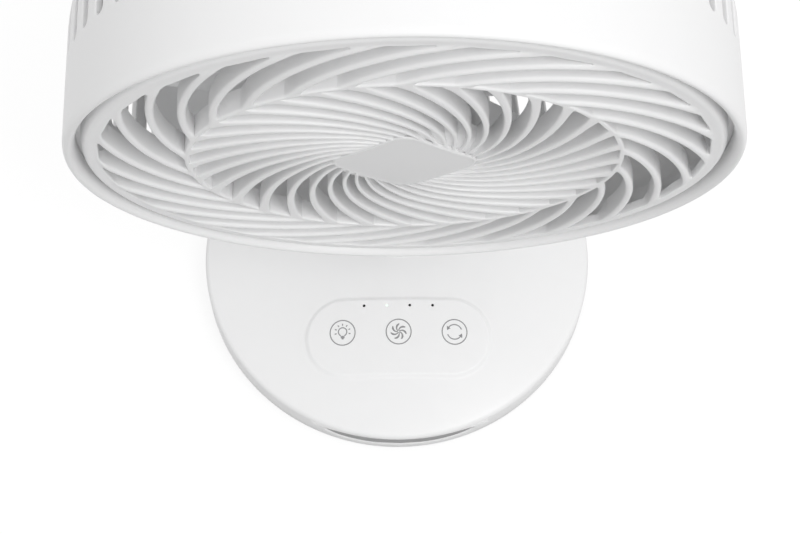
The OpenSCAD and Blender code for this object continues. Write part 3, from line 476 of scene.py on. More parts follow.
def revolved_row(r, z, degrees):
    """Points at radius r and height z, one for each of the given directions."""
    turn = np.radians(degrees)
    return np.column_stack([r * np.cos(turn), r * np.sin(turn), np.full(len(turn), z)])


def clear_of(points, mouth, pin):
    """True for points of the top that stay clear of the turntable's mouth and the light pins."""
    x, y = points[:, 0], points[:, 1]
    ok = np.hypot(x, y - swivel_y) > mouth
    for at in led_x:
        ok &= np.hypot(x - at, y - led_y) > pin
    return ok


def holed_top(loops, loose, mouth, pin, height):
    """A sheet of the top with its holes left open, raised to its height."""
    flat, faces = sheet(loops, loose, lambda x, y: clear_of(np.column_stack([x, y]), mouth, pin * 0.99))
    return raised(flat, height), faces


def base_shell():
    """Every surface of the upper shell, inside and out."""
    # the domed top, with holes for the four light pins and the neck's turntable
    rim_top = (base_r - shoulder) * dome_r / (dome_r - shoulder)
    led_edge, foot = round_edge(0.12, 3), round_edge(0.6, 4)
    pin_mouth, collar_foot = led_r + led_edge[0][0], collar_r + foot[0][0]
    loops = [ring_points(rim_top, columns), ring_points(collar_foot, collar_points, 0, swivel_y)]
    loops += [ring_points(pin_mouth, pin_points, x, led_y) for x in led_x]
    for inward in np.linspace(-0.4, 0.8, 13) * pad_slope:
        loops.append(stadium_points(pad_l - 2 * inward, pad_w - 2 * inward, pad_y, 220))
    loose = []
    for r in np.arange(3, rim_top - 1, spacing):
        loose += list(ring_points(r, int(2 * math.pi * r / spacing)))
    loose = np.array(loose)
    off_slope = np.abs(pad_edge(loose[:, 0], loose[:, 1]) - 0.4) > 2.6
    clear = off_slope & clear_of(loose, collar_r + 2, 1.4)
    parts = [holed_top(loops, loose[clear], collar_foot, pin_mouth, shell_top)]
    # the skin under it
    inner_dome = dome_r - shell_wall
    inner_top = (base_r - shoulder) * inner_dome / (inner_dome - inner_shoulder)

    def ceiling(x, y):
        return base_h - dome_r + np.sqrt(inner_dome ** 2 - np.square(x) - np.square(y))

    loops = [ring_points(inner_top, columns), ring_points(mouth_r, collar_points, 0, swivel_y)]
    loops += [ring_points(led_r, pin_points, x, led_y) for x in led_x]
    clear = clear_of(loose, mouth_r + 1.5, 1.4) & (np.hypot(loose[:, 0], loose[:, 1]) < inner_top - 1.5)
    parts.append(holed_top(loops, loose[clear][::2], mouth_r, led_r, ceiling))
    # the bores of the light pins
    for x in led_x:
        rows = [raised(ring_points(led_r + out, pin_points, x, led_y), lambda a, b: shell_top(a, b) - down)
                for out, down in led_edge]
        rows.append(raised(ring_points(led_r, pin_points, x, led_y), ceiling))
        parts.append(band(rows))
    # the collar round the turntable
    rows = [raised(ring_points(collar_r + out, collar_points, 0, swivel_y), lambda a, b: dome_z(a, b) + up)
            for out, up in foot]
    top_edge = round_edge(0.5, 4)
    for r, down in [(collar_r - back, down) for back, down in top_edge[::-1]] + \
            [(mouth_r + out, down) for out, down in top_edge]:
        loop = ring_points(r, collar_points, 0, swivel_y)
        rows.append(raised(loop, lambda a, b: 0 * a + collar_top - down))
    rows.append(raised(ring_points(mouth_r, collar_points, 0, swivel_y), ceiling))
    parts.append(band(rows))
    # shoulder, skirt and its lower edge; the slot and the socket's opening are cut in it
    skirt_middle = 6.4
    rows_z = [shoulder_z, skirt_middle, skirt_z + 0.5]

    def corner(radius, turns):
        return [(base_r - shoulder + radius * math.cos(a), shoulder_z + radius * math.sin(a)) for a in turns]

    tilt = math.acos((base_r - shoulder) / (dome_r - shoulder))
    outer = corner(shoulder, np.linspace(tilt, 0, 9))
    tilt = math.acos((base_r - shoulder) / (inner_dome - inner_shoulder))
    inner = corner(inner_shoulder, np.linspace(0, tilt, 4))
    inner_r = base_r - shell_wall
    lower = [(base_r, rows_z[-1]), (base_r - 0.15, skirt_z + 0.15), (base_r - 0.5, skirt_z),
             (inner_r + 0.3, skirt_z), (inner_r, skirt_z + 0.3), (inner_r, rows_z[-1])]
    for profile in (outer, lower, inner):
        parts.append(band([revolved_row(r, z, np.arange(columns)) for r, z in profile]))
    front, back, slot_span, usb_span = 270, 90, 26, 6
    plain = [c % columns for c in range(front + slot_span, front - slot_span + columns + 1)]
    plain = [c for c in plain if not back - usb_span < c < back + usb_span]
    cut = plain.index(back - usb_span)
    for stretch in (plain[:cut + 1], plain[cut + 1:]):
        for r in (base_r, inner_r):
            parts.append(band([revolved_row(r, z, np.array(stretch)) for z in rows_z], closed=False))
    parts += pierced_wall(night_slot(), front, slot_span, rows_z, 0.25)
    parts += pierced_wall(stadium_points(usb_w, usb_h, usb_z, 48), back, usb_span, rows_z, 0.2)
    return moulding(parts)


assembled("base_cover", [base_shell()], shell_plastic, "base", ["base_upper_shell"])

# ---- Night light ----------------------------------------------------------------------
# A bent strip of milky grey plastic lies behind the skirt and fills its slot nearly flush.
# It spreads the light of a curved strip of small lamps.


def on_skirt(loop, r):
    a = loop[:, 0] / base_r
    return np.column_stack([r * np.sin(a), -r * np.cos(a), loop[:, 1]])


def shrunk(loop, share):
    """The loop drawn in towards the middle of the window."""
    middle = np.array([0, slot_low + slot_height / 2])
    return middle + (loop - middle) * share


pane, flange = outset(night_slot(), -0.1), outset(night_slot(), 0.5)
pane_r, behind, strip_t = base_r - 0.45, base_r - shell_wall - 0.1, 1.3
rows = [on_skirt(shrunk(pane, k), pane_r) for k in (0.001, 0.25, 0.5, 0.75, 0.96)]
rows += [on_skirt(pane, pane_r - 0.15), on_skirt(pane, behind), on_skirt(flange, behind)]
rows += [on_skirt(shrunk(flange, k), behind - strip_t) for k in (1, 0.75, 0.5, 0.25, 0.001)]
milky = grained("milky_lens", (0.3, 0.3, 0.305), 0.4, 1800, 0.2, 0.05)
assembled("night_window", [moulding([band(rows)])], milky, "base", ["night_light_lens"])

# ---- Key prints -----------------------------------------------------------------------
# Three thin-lined grey pictograms are pad-printed on the shell over the touch springs:
# a bulb, a fan and two turning arrows, each in its own ring.
key_pitch, key_y, key_ring_r, line_width = 22.0, -37.0, 4.9, 0.42
print_top, print_foot = 0.03, -0.08
ink = grained("grey_ink", (0.27, 0.27, 0.275), 0.55, 4000, 0.1, 0.08)


def on_shell(points, rise):
    return raised(points, lambda x, y: shell_top(x, y) + rise)


def stroke(path, closed=False, widths=None):
    """A printed line: a flat ribbon that lies on the shell, a hair proud of it."""
    path = np.array(path, float)
    widths = np.full(len(path), line_width) if widths is None else np.array(widths, float)
    if closed:
        along = np.roll(path, -1, axis=0) - np.roll(path, 1, axis=0)
    else:
        along = np.gradient(path, axis=0)
    along /= np.hypot(*along.T)[:, None]
    aside = np.column_stack([-along[:, 1], along[:, 0]]) * widths[:, None] / 2
    left, right = path + aside, path - aside
    corners = [on_shell(left, print_top), on_shell(left, print_foot),
               on_shell(right, print_foot), on_shell(right, print_top)]
    rows = [np.array(row) for row in zip(*corners)]
    if closed:
        return band(rows + [rows[0]])
    points, faces = band(rows)
    n = len(points)
    return points, faces + [(3, 2, 1, 0), (n - 4, n - 3, n - 2, n - 1)]


def arc(r, start, stop, count=20, x=0.0, y=0.0):
    a = np.radians(np.linspace(start, stop, count))
    return np.column_stack([x + r * np.cos(a), y + r * np.sin(a)])


def bulb_key(x):
    """Bulb with its cap and seven rays."""
    at, glass_y = np.array([x, key_y]), 0.35
    glass = np.vstack([[(0.75, -1.25)], arc(1.65, -50, 230, 28, 0, glass_y), [(-0.75, -1.25)]])
    lines = [stroke(at + glass)]
    lines += [stroke(at + np.array([(-0.75, y), (0.75, y)])) for y in (-1.45, -1.95)]
    lines.append(stroke(at + np.array([(-0.4, -2.4), (0.4, -2.4)])))
    for a in np.radians(np.linspace(-15, 195, 7)):
        way = np.array([math.cos(a), math.sin(a)])
        lines.append(stroke([at + (0, glass_y) + way * r for r in (2.45, 3.2)]))
    return lines


def fan_key(x, arms=7):
    """Swirl of short bent blades."""
    lines = []
    for k in range(arms):
        swing = Matrix.Rotation(math.radians(k * 360 / arms), 2)
        path = arc(1.75, 175, 60, 12, 1.75, 0.15)
        lines.append(stroke([Vector((x, key_y)) + swing @ Vector(p) for p in path],
                            widths=np.interp(np.arange(12), [0, 8, 11], [0.3, 0.75, 0.35])))
    return lines


def arrows_key(x, r=2.9):
    """Two arrows that chase each other round the ring."""
    lines = []
    for start in (20, 200):
        lines.append(stroke(arc(r, start, start + 125, 24, x, key_y)))
        tip = arc(r, start + 120, start + 148, 6, x, key_y)
        lines.append(stroke(tip, widths=np.linspace(1.7, 0.05, 6)))
    return lines


prints = []
for x, drawn in ((-key_pitch, bulb_key), (0, fan_key), (key_pitch, arrows_key)):
    prints += [stroke(ring_points(key_ring_r, 72, x, key_y), closed=True)] + drawn(x)
assembled("key_prints", [moulding(prints)], ink, "base", [])

# ---- Neck and tilt hinge --------------------------------------------------------------
# Two white half shells screwed together round the cable, standing on the turntable. A
# bolt with friction washers holds the knuckle of the head in their fork, under caps.


def softened(name, new_name, body, width):
    """The moulding of a part with its hard edges rounded, as it comes out of the mould."""
    bm = bmesh.new()
    bm.from_mesh(node[name].data)
    bmesh.ops.remove_doubles(bm, verts=bm.verts, dist=2e-6)
    bmesh.ops.dissolve_degenerate(bm, dist=1e-6, edges=bm.edges)
    bmesh.ops.dissolve_limit(bm, angle_limit=math.radians(1.5), verts=bm.verts, edges=bm.edges)
    hard = bpy.data.meshes.new(new_name)
    bm.to_mesh(hard)
    bm.free()
    maker = bpy.data.objects.new(new_name, hard)
    scene.collection.objects.link(maker)
    bevel = maker.modifiers.new("rounding", "BEVEL")
    bevel.width = width * MM
    bevel.segments = 3
    bevel.limit_method = "ANGLE"
    bevel.angle_limit = math.radians(38)
    assembled(new_name, [read_back(maker)], shell_plastic, body, [name])


softened("neck_front_shell", "neck_front", "neck", 0.6)
softened("neck_rear_shell", "neck_back", "neck", 0.6)
softened("hinge_caps", "hinge_cap_pair", "neck", 0.8)
softened("head_knuckle", "knuckle", "head", 0.6)

# ---- Drum of the head -----------------------------------------------------------------
# The deep white drum, moulded in one piece with its rounded lip, the ledge for the grille
# and five lugs for the motor mount. Rounded vents are cut all round, except at the knuckle.
lip_r, lip_round, wall = 105.25, 3.0, 2.3
crest_r, bead_in, bead_depth = 103.65, 2.2, 4.0
taper = math.radians(1)
turn_s, back_round, seam_s, depth = 36.0, 56.0, 66.0, 92.0
impeller_s, arms = 30, 5
turn_r = lip_r - math.tan(taper) * (turn_s - lip_round)
flat_r = turn_r - back_round
straight = (turn_s - lip_round) / math.cos(taper)
pitch = 6

front = Vector(joint["fan_spin"]["axis"]).normalized()
right = -Vector(joint["tilt"]["axis"]).normalized()
in_head = Matrix((right, front.cross(right), front)).transposed().to_4x4()
in_head.translation = Vector(joint["fan_spin"]["pos_m"]) + impeller_s * MM * front


def side(t):
    """Radius and depth at t mm along the outside from the lip, and which way is outwards there."""
    if t <= straight:
        way_r, way_s = math.cos(taper), math.sin(taper)
        return lip_r - t * way_s, lip_round + t * way_r, way_r, way_s
    a = (t - straight) / back_round
    way_r, way_s = math.cos(a), math.sin(a)
    return flat_r + back_round * way_r, turn_s + back_round * way_s, way_r, way_s


def along_side(s):
    """How far along the outside a depth behind the lip plane is reached."""
    if s <= turn_s:
        return (s - lip_round) / math.cos(taper)
    return straight + back_round * math.asin((s - turn_s) / back_round)


def on_side(points, down=0.0):
    """Points of (mm across, mm along) laid on the outside of the head, or under it."""
    out = []
    for across, t in points:
        r, s, nr, ns = side(t)
        a = across / r
        r, s = r - down * nr, s - down * ns
        out.append((r * math.cos(a), r * math.sin(a), -s))
    return np.array(out)


def head_rows(profile, degrees=np.arange(360)):
    """A profile of (radius, depth) turned about the head's axis."""
    return [revolved_row(r, -s, degrees) for r, s in profile]


def seam_ring(t, behind, corner, step):
    """Both skins from t to the seam: behind is 1 for the cover and -1 for the drum."""
    r, s, nr, ns = side(t)
    edge_r = side(along_side(seam_s))[0]
    tail = side(along_side(seam_s) + behind * 0.35)
    return band(head_rows([(r, s), tail[:2], (edge_r - corner, seam_s + behind * 0.1), (edge_r - step, seam_s),
                           (edge_r - wall - 0.3, seam_s), (r - wall * nr, s - wall * ns)]))


def half_step(t, share=0.5):
    """Half of one vent's step, in mm across at t, or another share of it."""
    return math.radians(pitch * share) * side(t)[0]


shares = np.linspace(-0.5, 0.5, pitch + 1)


def vent_loops(stops, t_a, t_b, half):
    """Border of one vent's stretch and the vent's own outline, point for point."""
    lo, hi = stops[0], stops[-1]
    near = [t for t in stops if t <= t_a]
    far = [t for t in stops if t >= t_b]
    mid = [t for t in stops if t_a < t < t_b]
    border = [(-half_step(t), t) for t in near[::-1]]
    border += [(half_step(lo, x), lo) for x in shares[1:-1]]
    border += [(half_step(t), t) for t in near + mid + far]
    border += [(half_step(hi, x), hi) for x in shares[::-1][1:-1]]
    border += [(-half_step(t), t) for t in (mid + far)[::-1]]
    arc_a = np.linspace(math.pi, 2 * math.pi, 2 * len(near) + pitch - 1)
    arc_b = np.linspace(0, math.pi, 2 * len(far) + pitch - 1)
    slot = [(half(t_a) * math.cos(a), t_a + half(t_a) * math.sin(a)) for a in arc_a]
    slot += [(half(t), t) for t in mid]
    slot += [(half(t_b) * math.cos(a), t_b + half(t_b) * math.sin(a)) for a in arc_b]
    slot += [(-half(t), t) for t in mid[::-1]]
    return np.array(border), np.array(slot)


def vent_panel(stops, t_a, t_b, half, roll=0.5):
    """Outer skin, rolled edge and inner skin of one vent's stretch."""
    border, slot = vent_loops(stops, t_a, t_b, half)
    edge = round_edge(roll, 3)
    wide = outset(slot, edge[0][0])
    rows = [on_side(border), on_side((border + wide) / 2)]
    rows += [on_side(outset(slot, out), down) for out, down in edge]
    rows += [on_side(slot, wall - 0.3), on_side(outset(slot, 0.3), wall), on_side(border, wall)]
    return moulding([band(rows)])


def plain_panel(stops):
    """Both skins of a stretch without a vent."""
    return moulding([band([on_side([(half_step(t, x), t) for x in shares], down) for t in stops], closed=False)
                     for down in (0, wall)])


def stops_for(lo, t_a, t_b, hi, mid):
    """Places along the side where a vent's mesh has a row: its ends and mid rows between."""
    return [*np.linspace(lo, t_a, 4), *np.linspace(t_a, t_b, mid + 2)[1:-1], *np.linspace(t_b, hi, 4)]


def block(x0, x1, y0, y1, z0, z1):
    corners = [(x, y, z) for x in (x0, x1) for y in (y0, y1) for z in (z0, z1)]
    faces = [(0, 1, 3, 2), (4, 6, 7, 5), (0, 4, 5, 1), (2, 3, 7, 6), (0, 2, 6, 4), (1, 5, 7, 3)]
    return np.array(corners, float), faces


vent_half, vent_margin, vents, vents_from = 2.4, 2.2, 54, 291
vent_start, vent_end = along_side(27), along_side(61)
vent_lo, vent_hi = vent_start + vent_half, vent_end - vent_half
drum_stops = stops_for(vent_start - vent_margin, vent_lo, vent_hi, vent_end + vent_margin, 9)


def drum_rings():
    """The lip, the skins in front of and behind the vents, and the grille's ledge."""
    r, s, nr, ns = side(drum_stops[0])
    profile = [(r, s), (lip_r - 0.19, 14), (lip_r, lip_round)]
    inner = lip_r - wall
    turn = np.linspace(0, math.pi / 2, 9)[1:]
    profile += [(crest_r + (lip_r - crest_r) * math.cos(a), lip_round * (1 - math.sin(a))) for a in turn]
    profile += [(crest_r - bead_in * math.sin(a), bead_depth * (1 - math.cos(a))) for a in turn]
    profile += [(crest_r - bead_in, 6.3), (crest_r - bead_in + 0.15, 6.5), (inner, 6.6)]
    profile += [(inner - 0.12, 9.5), (r - wall * nr, s - wall * ns)]
    parts = [band(head_rows(profile)), seam_ring(drum_stops[-1], -1, 0.12, 0.4)]
    ledge_r, ledge_front, ledge_back = 99.2, 8.5, 10.5
    ledge = [(ledge_r, ledge_front + 0.2), (ledge_r + 0.2, ledge_front), (inner + 0.6, ledge_front),
             (inner + 0.6, ledge_back), (ledge_r + 0.2, ledge_back), (ledge_r, ledge_back - 0.2),
             (ledge_r, ledge_front + 0.2)]
    parts.append(band(head_rows(ledge)))
    return moulding(parts)


vent = vent_panel(drum_stops, vent_lo, vent_hi, lambda t: vent_half)
lug_w, lug_front = 5.6, 53
lug = moulding([block(85, 97, -lug_w / 2, lug_w / 2, 0.1 - seam_s, -lug_front)])
drum = [drum_rings(),
        turned("vents", vent, vents, pitch, vents_from, shell_plastic),
        turned("plain_wall", plain_panel(drum_stops), 360 // pitch - vents, pitch, 255, shell_plastic),
        turned("mount_lugs", lug, arms, 360 / arms, 270, shell_plastic)]
assembled("drum", drum, shell_plastic, "head", ["drum_housing"], in_head)

# ---- Impeller -------------------------------------------------------------------------
# Seven white blades moulded in one piece with a cup that fits over the motor. Each blade
# twists towards its tip, and its hollow side faces forwards.
blades, hub_r, blade_tip, section_points = 7, 26.0, 92.0, 28
lean_at_hub, lean_lost, chord_at_hub, chord_gained, bow_depth = 48, 15, 29, 8, 3.2
impeller_plastic = grained("impeller_plastic", (0.88, 0.882, 0.886), 0.42, 1800, 0.2, 0.02)


def blade_section(r):
    """Closed outline of one blade on a cylinder of radius r."""
    out = max((r - hub_r) / (blade_tip - hub_r), 0)
    lean = math.radians(lean_at_hub - lean_lost * out)
    chord = chord_at_hub + chord_gained * out
    rounding = max((r - 80) / 12, 0)
    chord *= math.sqrt(1 - 0.8 * rounding ** 2)
    turn = full_turn(section_points)
    along = chord / 2 * np.cos(turn)
    bow = bow_depth * (1 - (2 * along / chord) ** 2) * chord / 34
    thick = (1.1 - 0.35 * out) * np.sign(np.sin(turn)) * np.abs(np.sin(turn)) ** 0.7
    down = along * math.cos(lean) - (bow + thick) * math.sin(lean)
    s = impeller_s + along * math.sin(lean) + (bow + thick) * math.cos(lean)
    a = -down / r
    return np.column_stack([r * np.cos(a), r * np.sin(a), -s])


rows = [blade_section(r) for r in [*np.linspace(24.5, 80, 12), 83, 85.5, 87.8, 89.6, 91, 91.7, blade_tip]]
end = tuple(range(section_points))
blade = moulding([band(rows), (rows[0], [end[::-1]]), (rows[-1], [end])])
cup = [(1.7, 15), (9, 15), (9.4, 14.7), (21.5, 14.7), (23.8, 15.3), (25.3, 16.6), (hub_r, 18.6),
       (hub_r, 43.7), (25.7, 44), (23.9, 44), (23.6, 43.7), (23.6, 17.4), (7, 17.4), (7, 20), (1.7, 20),
       (1.7, 15)]
assembled("fan_wheel", [moulding([band(head_rows(cup, np.arange(0, 360, 3)))]),
                        turned("blades", blade, blades, 360 / blades, 0, impeller_plastic)],
          impeller_plastic, "fan", ["impeller"], in_head)

# ---- Grille ---------------------------------------------------------------------------
# The swirl of fins in front of the impeller, moulded in one piece: 32 fins from the hub to
# the middle ring, and 26 rounder ones that sweep the other way from there to the rim.
inner_fins, outer_fins = 32, 26
inner_phase, inner_curl, inner_half = 159.1, 0.885, 0.16
outer_phase, outer_sweep, outer_half = 160.9, -1.34, 0.14
hub_start, mid_ring, rim_start = 17.0, 67.4, 95.8
hub_top, ring_top, rim_top = 1.9, 0.5, 1.3
fin_back, rim_back = 7.4, 3.6
grille_plastic = grained("grille_plastic", (0.9, 0.9, 0.903), 0.36, 1700, 0.15, 0.015)


def inner_fin(r):
    """Direction of an inner fin at radius r: a spiral that leans by the same slant all along."""
    return inner_phase + inner_curl * math.degrees(math.log(r / mid_ring))


def outer_fin(r):
    """Direction of an outer fin at radius r, which turns back by the same angle each millimetre."""
    return outer_phase + outer_sweep * (r - mid_ring)


def smooth(x):
    """From 0 to 1 with soft ends."""
    x = np.clip(x, 0, 1)
    return x * x * (3 - 2 * x)


def inner_top(r):
    """Depth of the inner fins' fronts, which dip a little towards the hub."""
    return ring_top + 0.5 * smooth((36 - r) / 14)


def outer_top(r):
    """Depth of the outer fins' fronts, which drop into the rim."""
    return ring_top + (rim_top - ring_top) * np.clip((r - 92.6) / 2.8, 0, 1) ** 2


def polar(r, degrees):
    a = np.radians(degrees)
    return np.array([r * math.cos(a), r * math.sin(a)])


def fillet(edge, r, radius, middle):
    """Centre of a rounded corner on the circle r, where it touches a fin's side."""
    def gap_to(a):
        return np.min(np.hypot(*(edge - polar(r, a)).T)) - radius

    on_edge = edge[np.argmin(abs(np.hypot(*edge.T) - r))]
    near, far = middle, math.degrees(math.atan2(*on_edge[::-1]))
    far += 360 * round((middle - far) / 360)
    for _ in range(30):
        half = (near + far) / 2
        near, far = (half, far) if gap_to(half) > 0 else (near, half)
    return polar(r, near)


def gap_outline(fin, step, half, r_in, r_out, corner_in, corner_out):
    """Dense outline of the gap between two fins, with rounded corners."""
    reach = np.linspace(r_in, r_out, 90)
    first = np.array([polar(r, fin(r) + half) for r in reach])
    last = np.array([polar(r, fin(r) + step - half) for r in reach])
    loop = []
    for edge, order in ((first, 1), (last, -1)):
        touch = []
        for r, radius in ((r_in + corner_in, corner_in), (r_out - corner_out, corner_out)):
            centre = fillet(edge, r, radius, fin(r) + step / 2)
            touch.append((centre, radius, np.argmin(np.hypot(*(edge - centre).T))))
        bits = []
        for (centre, radius, at), side_out in zip(touch, (-1, 1)):
            start = math.atan2(*(edge[at] - centre)[::-1])
            stop = math.atan2(*(side_out * centre)[::-1])
            stop += 2 * math.pi * round((start - stop) / (2 * math.pi))
            bits.append([centre + radius * np.array([math.cos(a), math.sin(a)])
                         for a in np.linspace(start, stop, 8)])
        line = bits[0][::-1] + list(edge[touch[0][2]:touch[1][2]]) + bits[1]
        loop += line[::order]
    return np.array(loop)


def gap_sector(fin, step, half, span, gap, corners, top, rounding, drop):
    """One gap with the halves of its two fins: front, side walls and back."""
    r_a, r_b = span
    ups = np.array([0, 0.02, 0.04, 0.065, 0.1, 0.15, 0.21, 0.28, 0.36, 0.44, 0.52, 0.6, 0.68, 0.75, 0.81, 0.86,
                    0.9, 0.92, 0.94, 0.955, 0.97, 0.985, 1])
    across = np.array([0, 0.08, 0.18, 0.3, 0.43, 0.57, 0.7, 0.82, 0.92, 1])
    square = [(u, 0) for u in across[:-1]] + [(1, v) for v in ups[:-1]]
    square += [(u, 1) for u in across[:0:-1]] + [(0, v) for v in ups[:0:-1]]
    square = np.array(square, float)
    radius = r_a + (r_b - r_a) * square[:, 1]
    outer = np.array([polar(r, fin(r) + u * step) for r, u in zip(radius, square[:, 0])])
    dense = gap_outline(fin, step, half, *gap, *corners)
    r_dense = np.hypot(*dense.T)
    a_dense = np.degrees(np.arctan2(dense[:, 1], dense[:, 0])) - np.array([fin(r) for r in r_dense])
    u_dense = (a_dense / step + 20) % (360 / step)
    u_dense -= np.round(np.median(u_dense) - 0.5)
    v_dense = (r_dense - r_a) / (r_b - r_a)
    turn = np.arctan2(v_dense - 0.5, u_dense - 0.5)
    wanted = np.arctan2(square[:, 1] - 0.5, square[:, 0] - 0.5)
    order = np.argsort(turn)
    inner = np.column_stack([np.interp(wanted, turn[order], dense[order, i], period=2 * math.pi)
                             for i in (0, 1)])
    rows = []

    def row(w, s):
        flat = outer + (inner - outer) * w
        if 0 < w < 1:
            r = np.hypot(*outer.T) * (1 - w) + np.hypot(*inner.T) * w
            flat = flat * (r / np.hypot(*flat.T))[:, None]
        r = np.hypot(*flat.T)
        return np.column_stack([flat, -s(r)])

    def back(r):
        return fin_back - (fin_back - rim_back) * smooth((r - 92.5) / 2.5)

    for w, share in rounding:
        rows.append(row(w, lambda r: top(r) + share * drop(r)))
    rows.append(row(1, lambda r: top(r) + drop(r) + 0.8))
    rows.append(row(1, lambda r: back(r) - 0.15))
    rows.append(row(0.9, back))
    rows.append(row(0, back))
    parts = [band(rows)]
    # close the ends that butt against the hub and the middle ring; the rim carries on
    ends = [np.arange(len(across))]
    if r_b < rim_start:
        ends.append(np.arange(len(across)) + len(across) + len(ups) - 2)
    for pick in ends:
        parts.append(band([rows[-1][pick], rows[0][pick]], closed=False))
    return moulding(parts), across


round_bar = [(w, 1 - math.sqrt(max(1 - w * w, 0))) for w in (0, 0.22, 0.42, 0.6, 0.76, 0.88, 0.96)]
round_bar.append((1, 0.9))
flat_bar = [(0, 0), (0.35, 0.01), (0.6, 0.08), (0.78, 0.24), (0.9, 0.48), (1, 0.85)]
step_in, step_out = 360 / inner_fins, 360 / outer_fins
inner_zone, across = gap_sector(inner_fin, step_in, inner_half * step_in, (hub_start, mid_ring - 0.2),
                                (hub_start + 1.6, mid_ring - 0.5), (0.3, 0.3), inner_top, flat_bar,
                                lambda r: 0.5 + 0.35 * smooth((r - 20) / 15))
outer_zone, across = gap_sector(outer_fin, step_out, outer_half * step_out, (mid_ring + 0.2, rim_start),
                                (mid_ring + 0.5, rim_start - 1), (0.3, 0.5), outer_top, round_bar,
                                lambda r: 1.3 - 0.6 * smooth((r - 90) / 4.5))
rim_turn = np.array([outer_fin(rim_start) + (k + u) * step_out for k in range(outer_fins) for u in across[:-1]])
rim_edge, edge_reach, edge_depth = 97.4, 2.3, 3.5
rim = [(rim_start, rim_top), (rim_edge - 0.2, rim_top)]
rim += [(rim_edge + edge_reach * math.sin(a), rim_top + edge_depth * (1 - math.cos(a)))
        for a in np.linspace(0, math.pi / 2, 9)]
rim += [(99.7, 6.7), (99.9, 6.9), (102.4, 6.9), (102.65, 7.15), (102.65, 8.5),
        (98.2, 8.5), (98.2, rim_back), (rim_start, rim_back)]
ring_front = [(-0.8, 1.0), (-0.74, 0.5), (-0.55, 0.18), (-0.3, 0.03), (0, 0), (0.3, 0.03), (0.55, 0.18),
              (0.74, 0.5), (0.8, 1.0)]
ring = [(mid_ring + out, ring_top + s) for out, s in ring_front]
ring = [(ring[0][0], fin_back)] + ring + [(ring[-1][0], fin_back), (ring[0][0], fin_back)]
hub = [(0, hub_top), (18, hub_top), (20.5, 1.98), (22.6, 2.35), (24.3, 3.1), (25.6, 4.3), (26.3, 5.8),
       (26.5, fin_back - 1), (26.5, fin_back), (0, fin_back)]
grille = [moulding([band(head_rows(rim, rim_turn))]), moulding([band(head_rows(ring))]),
          moulding([band(head_rows(hub, np.arange(0, 360, 3)))]),
          turned("inner_fins", inner_zone, inner_fins, step_in, 0, grille_plastic),
          turned("outer_fins", outer_zone, outer_fins, step_out, 0, grille_plastic)]
assembled("swirl_grille", grille, grille_plastic, "head", ["front_grille"], in_head)

# ---- Badge ----------------------------------------------------------------------------
# A plain rounded square set on its corner over the hub of the grille. It is slightly
# crowned, with a fine raised line along its edge, and clips in from the front.
badge_plastic = grained("badge_plastic", (0.81, 0.81, 0.813), 0.3, 1700, 0.1, 0.01)
badge_corner, badge_reach, badge_foot = 6.6, 22.5, -1.62


def badge_outline(count=11):
    """The rounded square on its corner: four arcs joined by straight sides."""
    centre = badge_reach - badge_corner
    out = []
    for quarter in range(4):
        mid = quarter * math.pi / 2
        for a in np.linspace(mid - math.pi / 4, mid + math.pi / 4, count):
            out.append((centre * math.cos(mid) + badge_corner * math.cos(a),
                        centre * math.sin(mid) + badge_corner * math.sin(a)))
        nxt = mid + math.pi / 2
        a = mid + math.pi / 4
        p = np.array(out[-1])
        q = np.array([centre * math.cos(nxt) + badge_corner * math.cos(a),
                      centre * math.sin(nxt) + badge_corner * math.sin(a)])
        out += [tuple(p + (q - p) * t) for t in np.linspace(0, 1, 12)[1:-1]]
    return np.array(out)


def badge_row(loop, rise=0.0):
    """An outline laid on the crowned face."""
    crown = 0.12 + 1.2 * (np.hypot(*loop.T) / 25) ** 2
    return np.column_stack([loop, rise - crown])


edge = badge_outline()
field = outset(edge, -1.25)
rows = [badge_row(field * k) for k in (0.001, 0.15, 0.3, 0.45, 0.6, 0.75, 0.88, 0.96, 1)]
rows += [badge_row(outset(edge, -inset), rise) for inset, rise in
         ((1.1, 0.03), (0.95, 0.11), (0.75, 0.15), (0.55, 0.11), (0.4, 0.02), (0.2, -0.06), (0.06, -0.18),
          (0, -0.35))]
rows += [np.column_stack([edge * share, np.full(len(edge), badge_foot)]) for share in (1, 0.001)]
assembled("face_badge", [moulding([band(rows)])], badge_plastic, "head", ["centre_badge"],
          in_head)

# ---- Rear cover -----------------------------------------------------------------------
# The domed back of the head, with tapering vents that carry on the drum's. Five screws
# stand deep in round wells between the vents.
cover_half = math.radians(1.398)
back_lo, back_hi = along_side(72), straight + back_round * math.acos(8 / back_round)
well_at, well_r, well_floor, well_foot, screw_r = 88.5, 2.6, 69.0, seam_s + 0.5, 1.4
wells, well_points = 5, 32


def cover_slot(t):
    """Half the width of a vent of the cover, which tapers as the cover closes."""
    return side(t)[0] * cover_half


back_first, back_last = back_lo + cover_slot(back_lo), back_hi - cover_slot(back_hi)
cover_stops = stops_for(back_lo - 3, back_first, back_last, back_hi + 2, 12)


def cover_rings():
    """Edge at the seam and closed middle of the back, with its fine ring groove."""
    parts = [seam_ring(cover_stops[0], 1, 0.02, 0.3)]
    for down in (0, wall):
        profile = []
        for t in np.linspace(cover_stops[-1], straight + back_round * math.pi / 2, 3):
            r, s, nr, ns = side(t)
            profile.append((r - down * nr, s - down * ns))
        back = depth - down
        if down:
            profile += [(30, back), (0, back)]
        else:
            profile += [(41.5, back), (41.1, back - 0.4), (40.4, back - 0.4), (40, back), (20, back),
                        (0, back)]
        parts.append(band(head_rows(profile)))
    return moulding(parts)


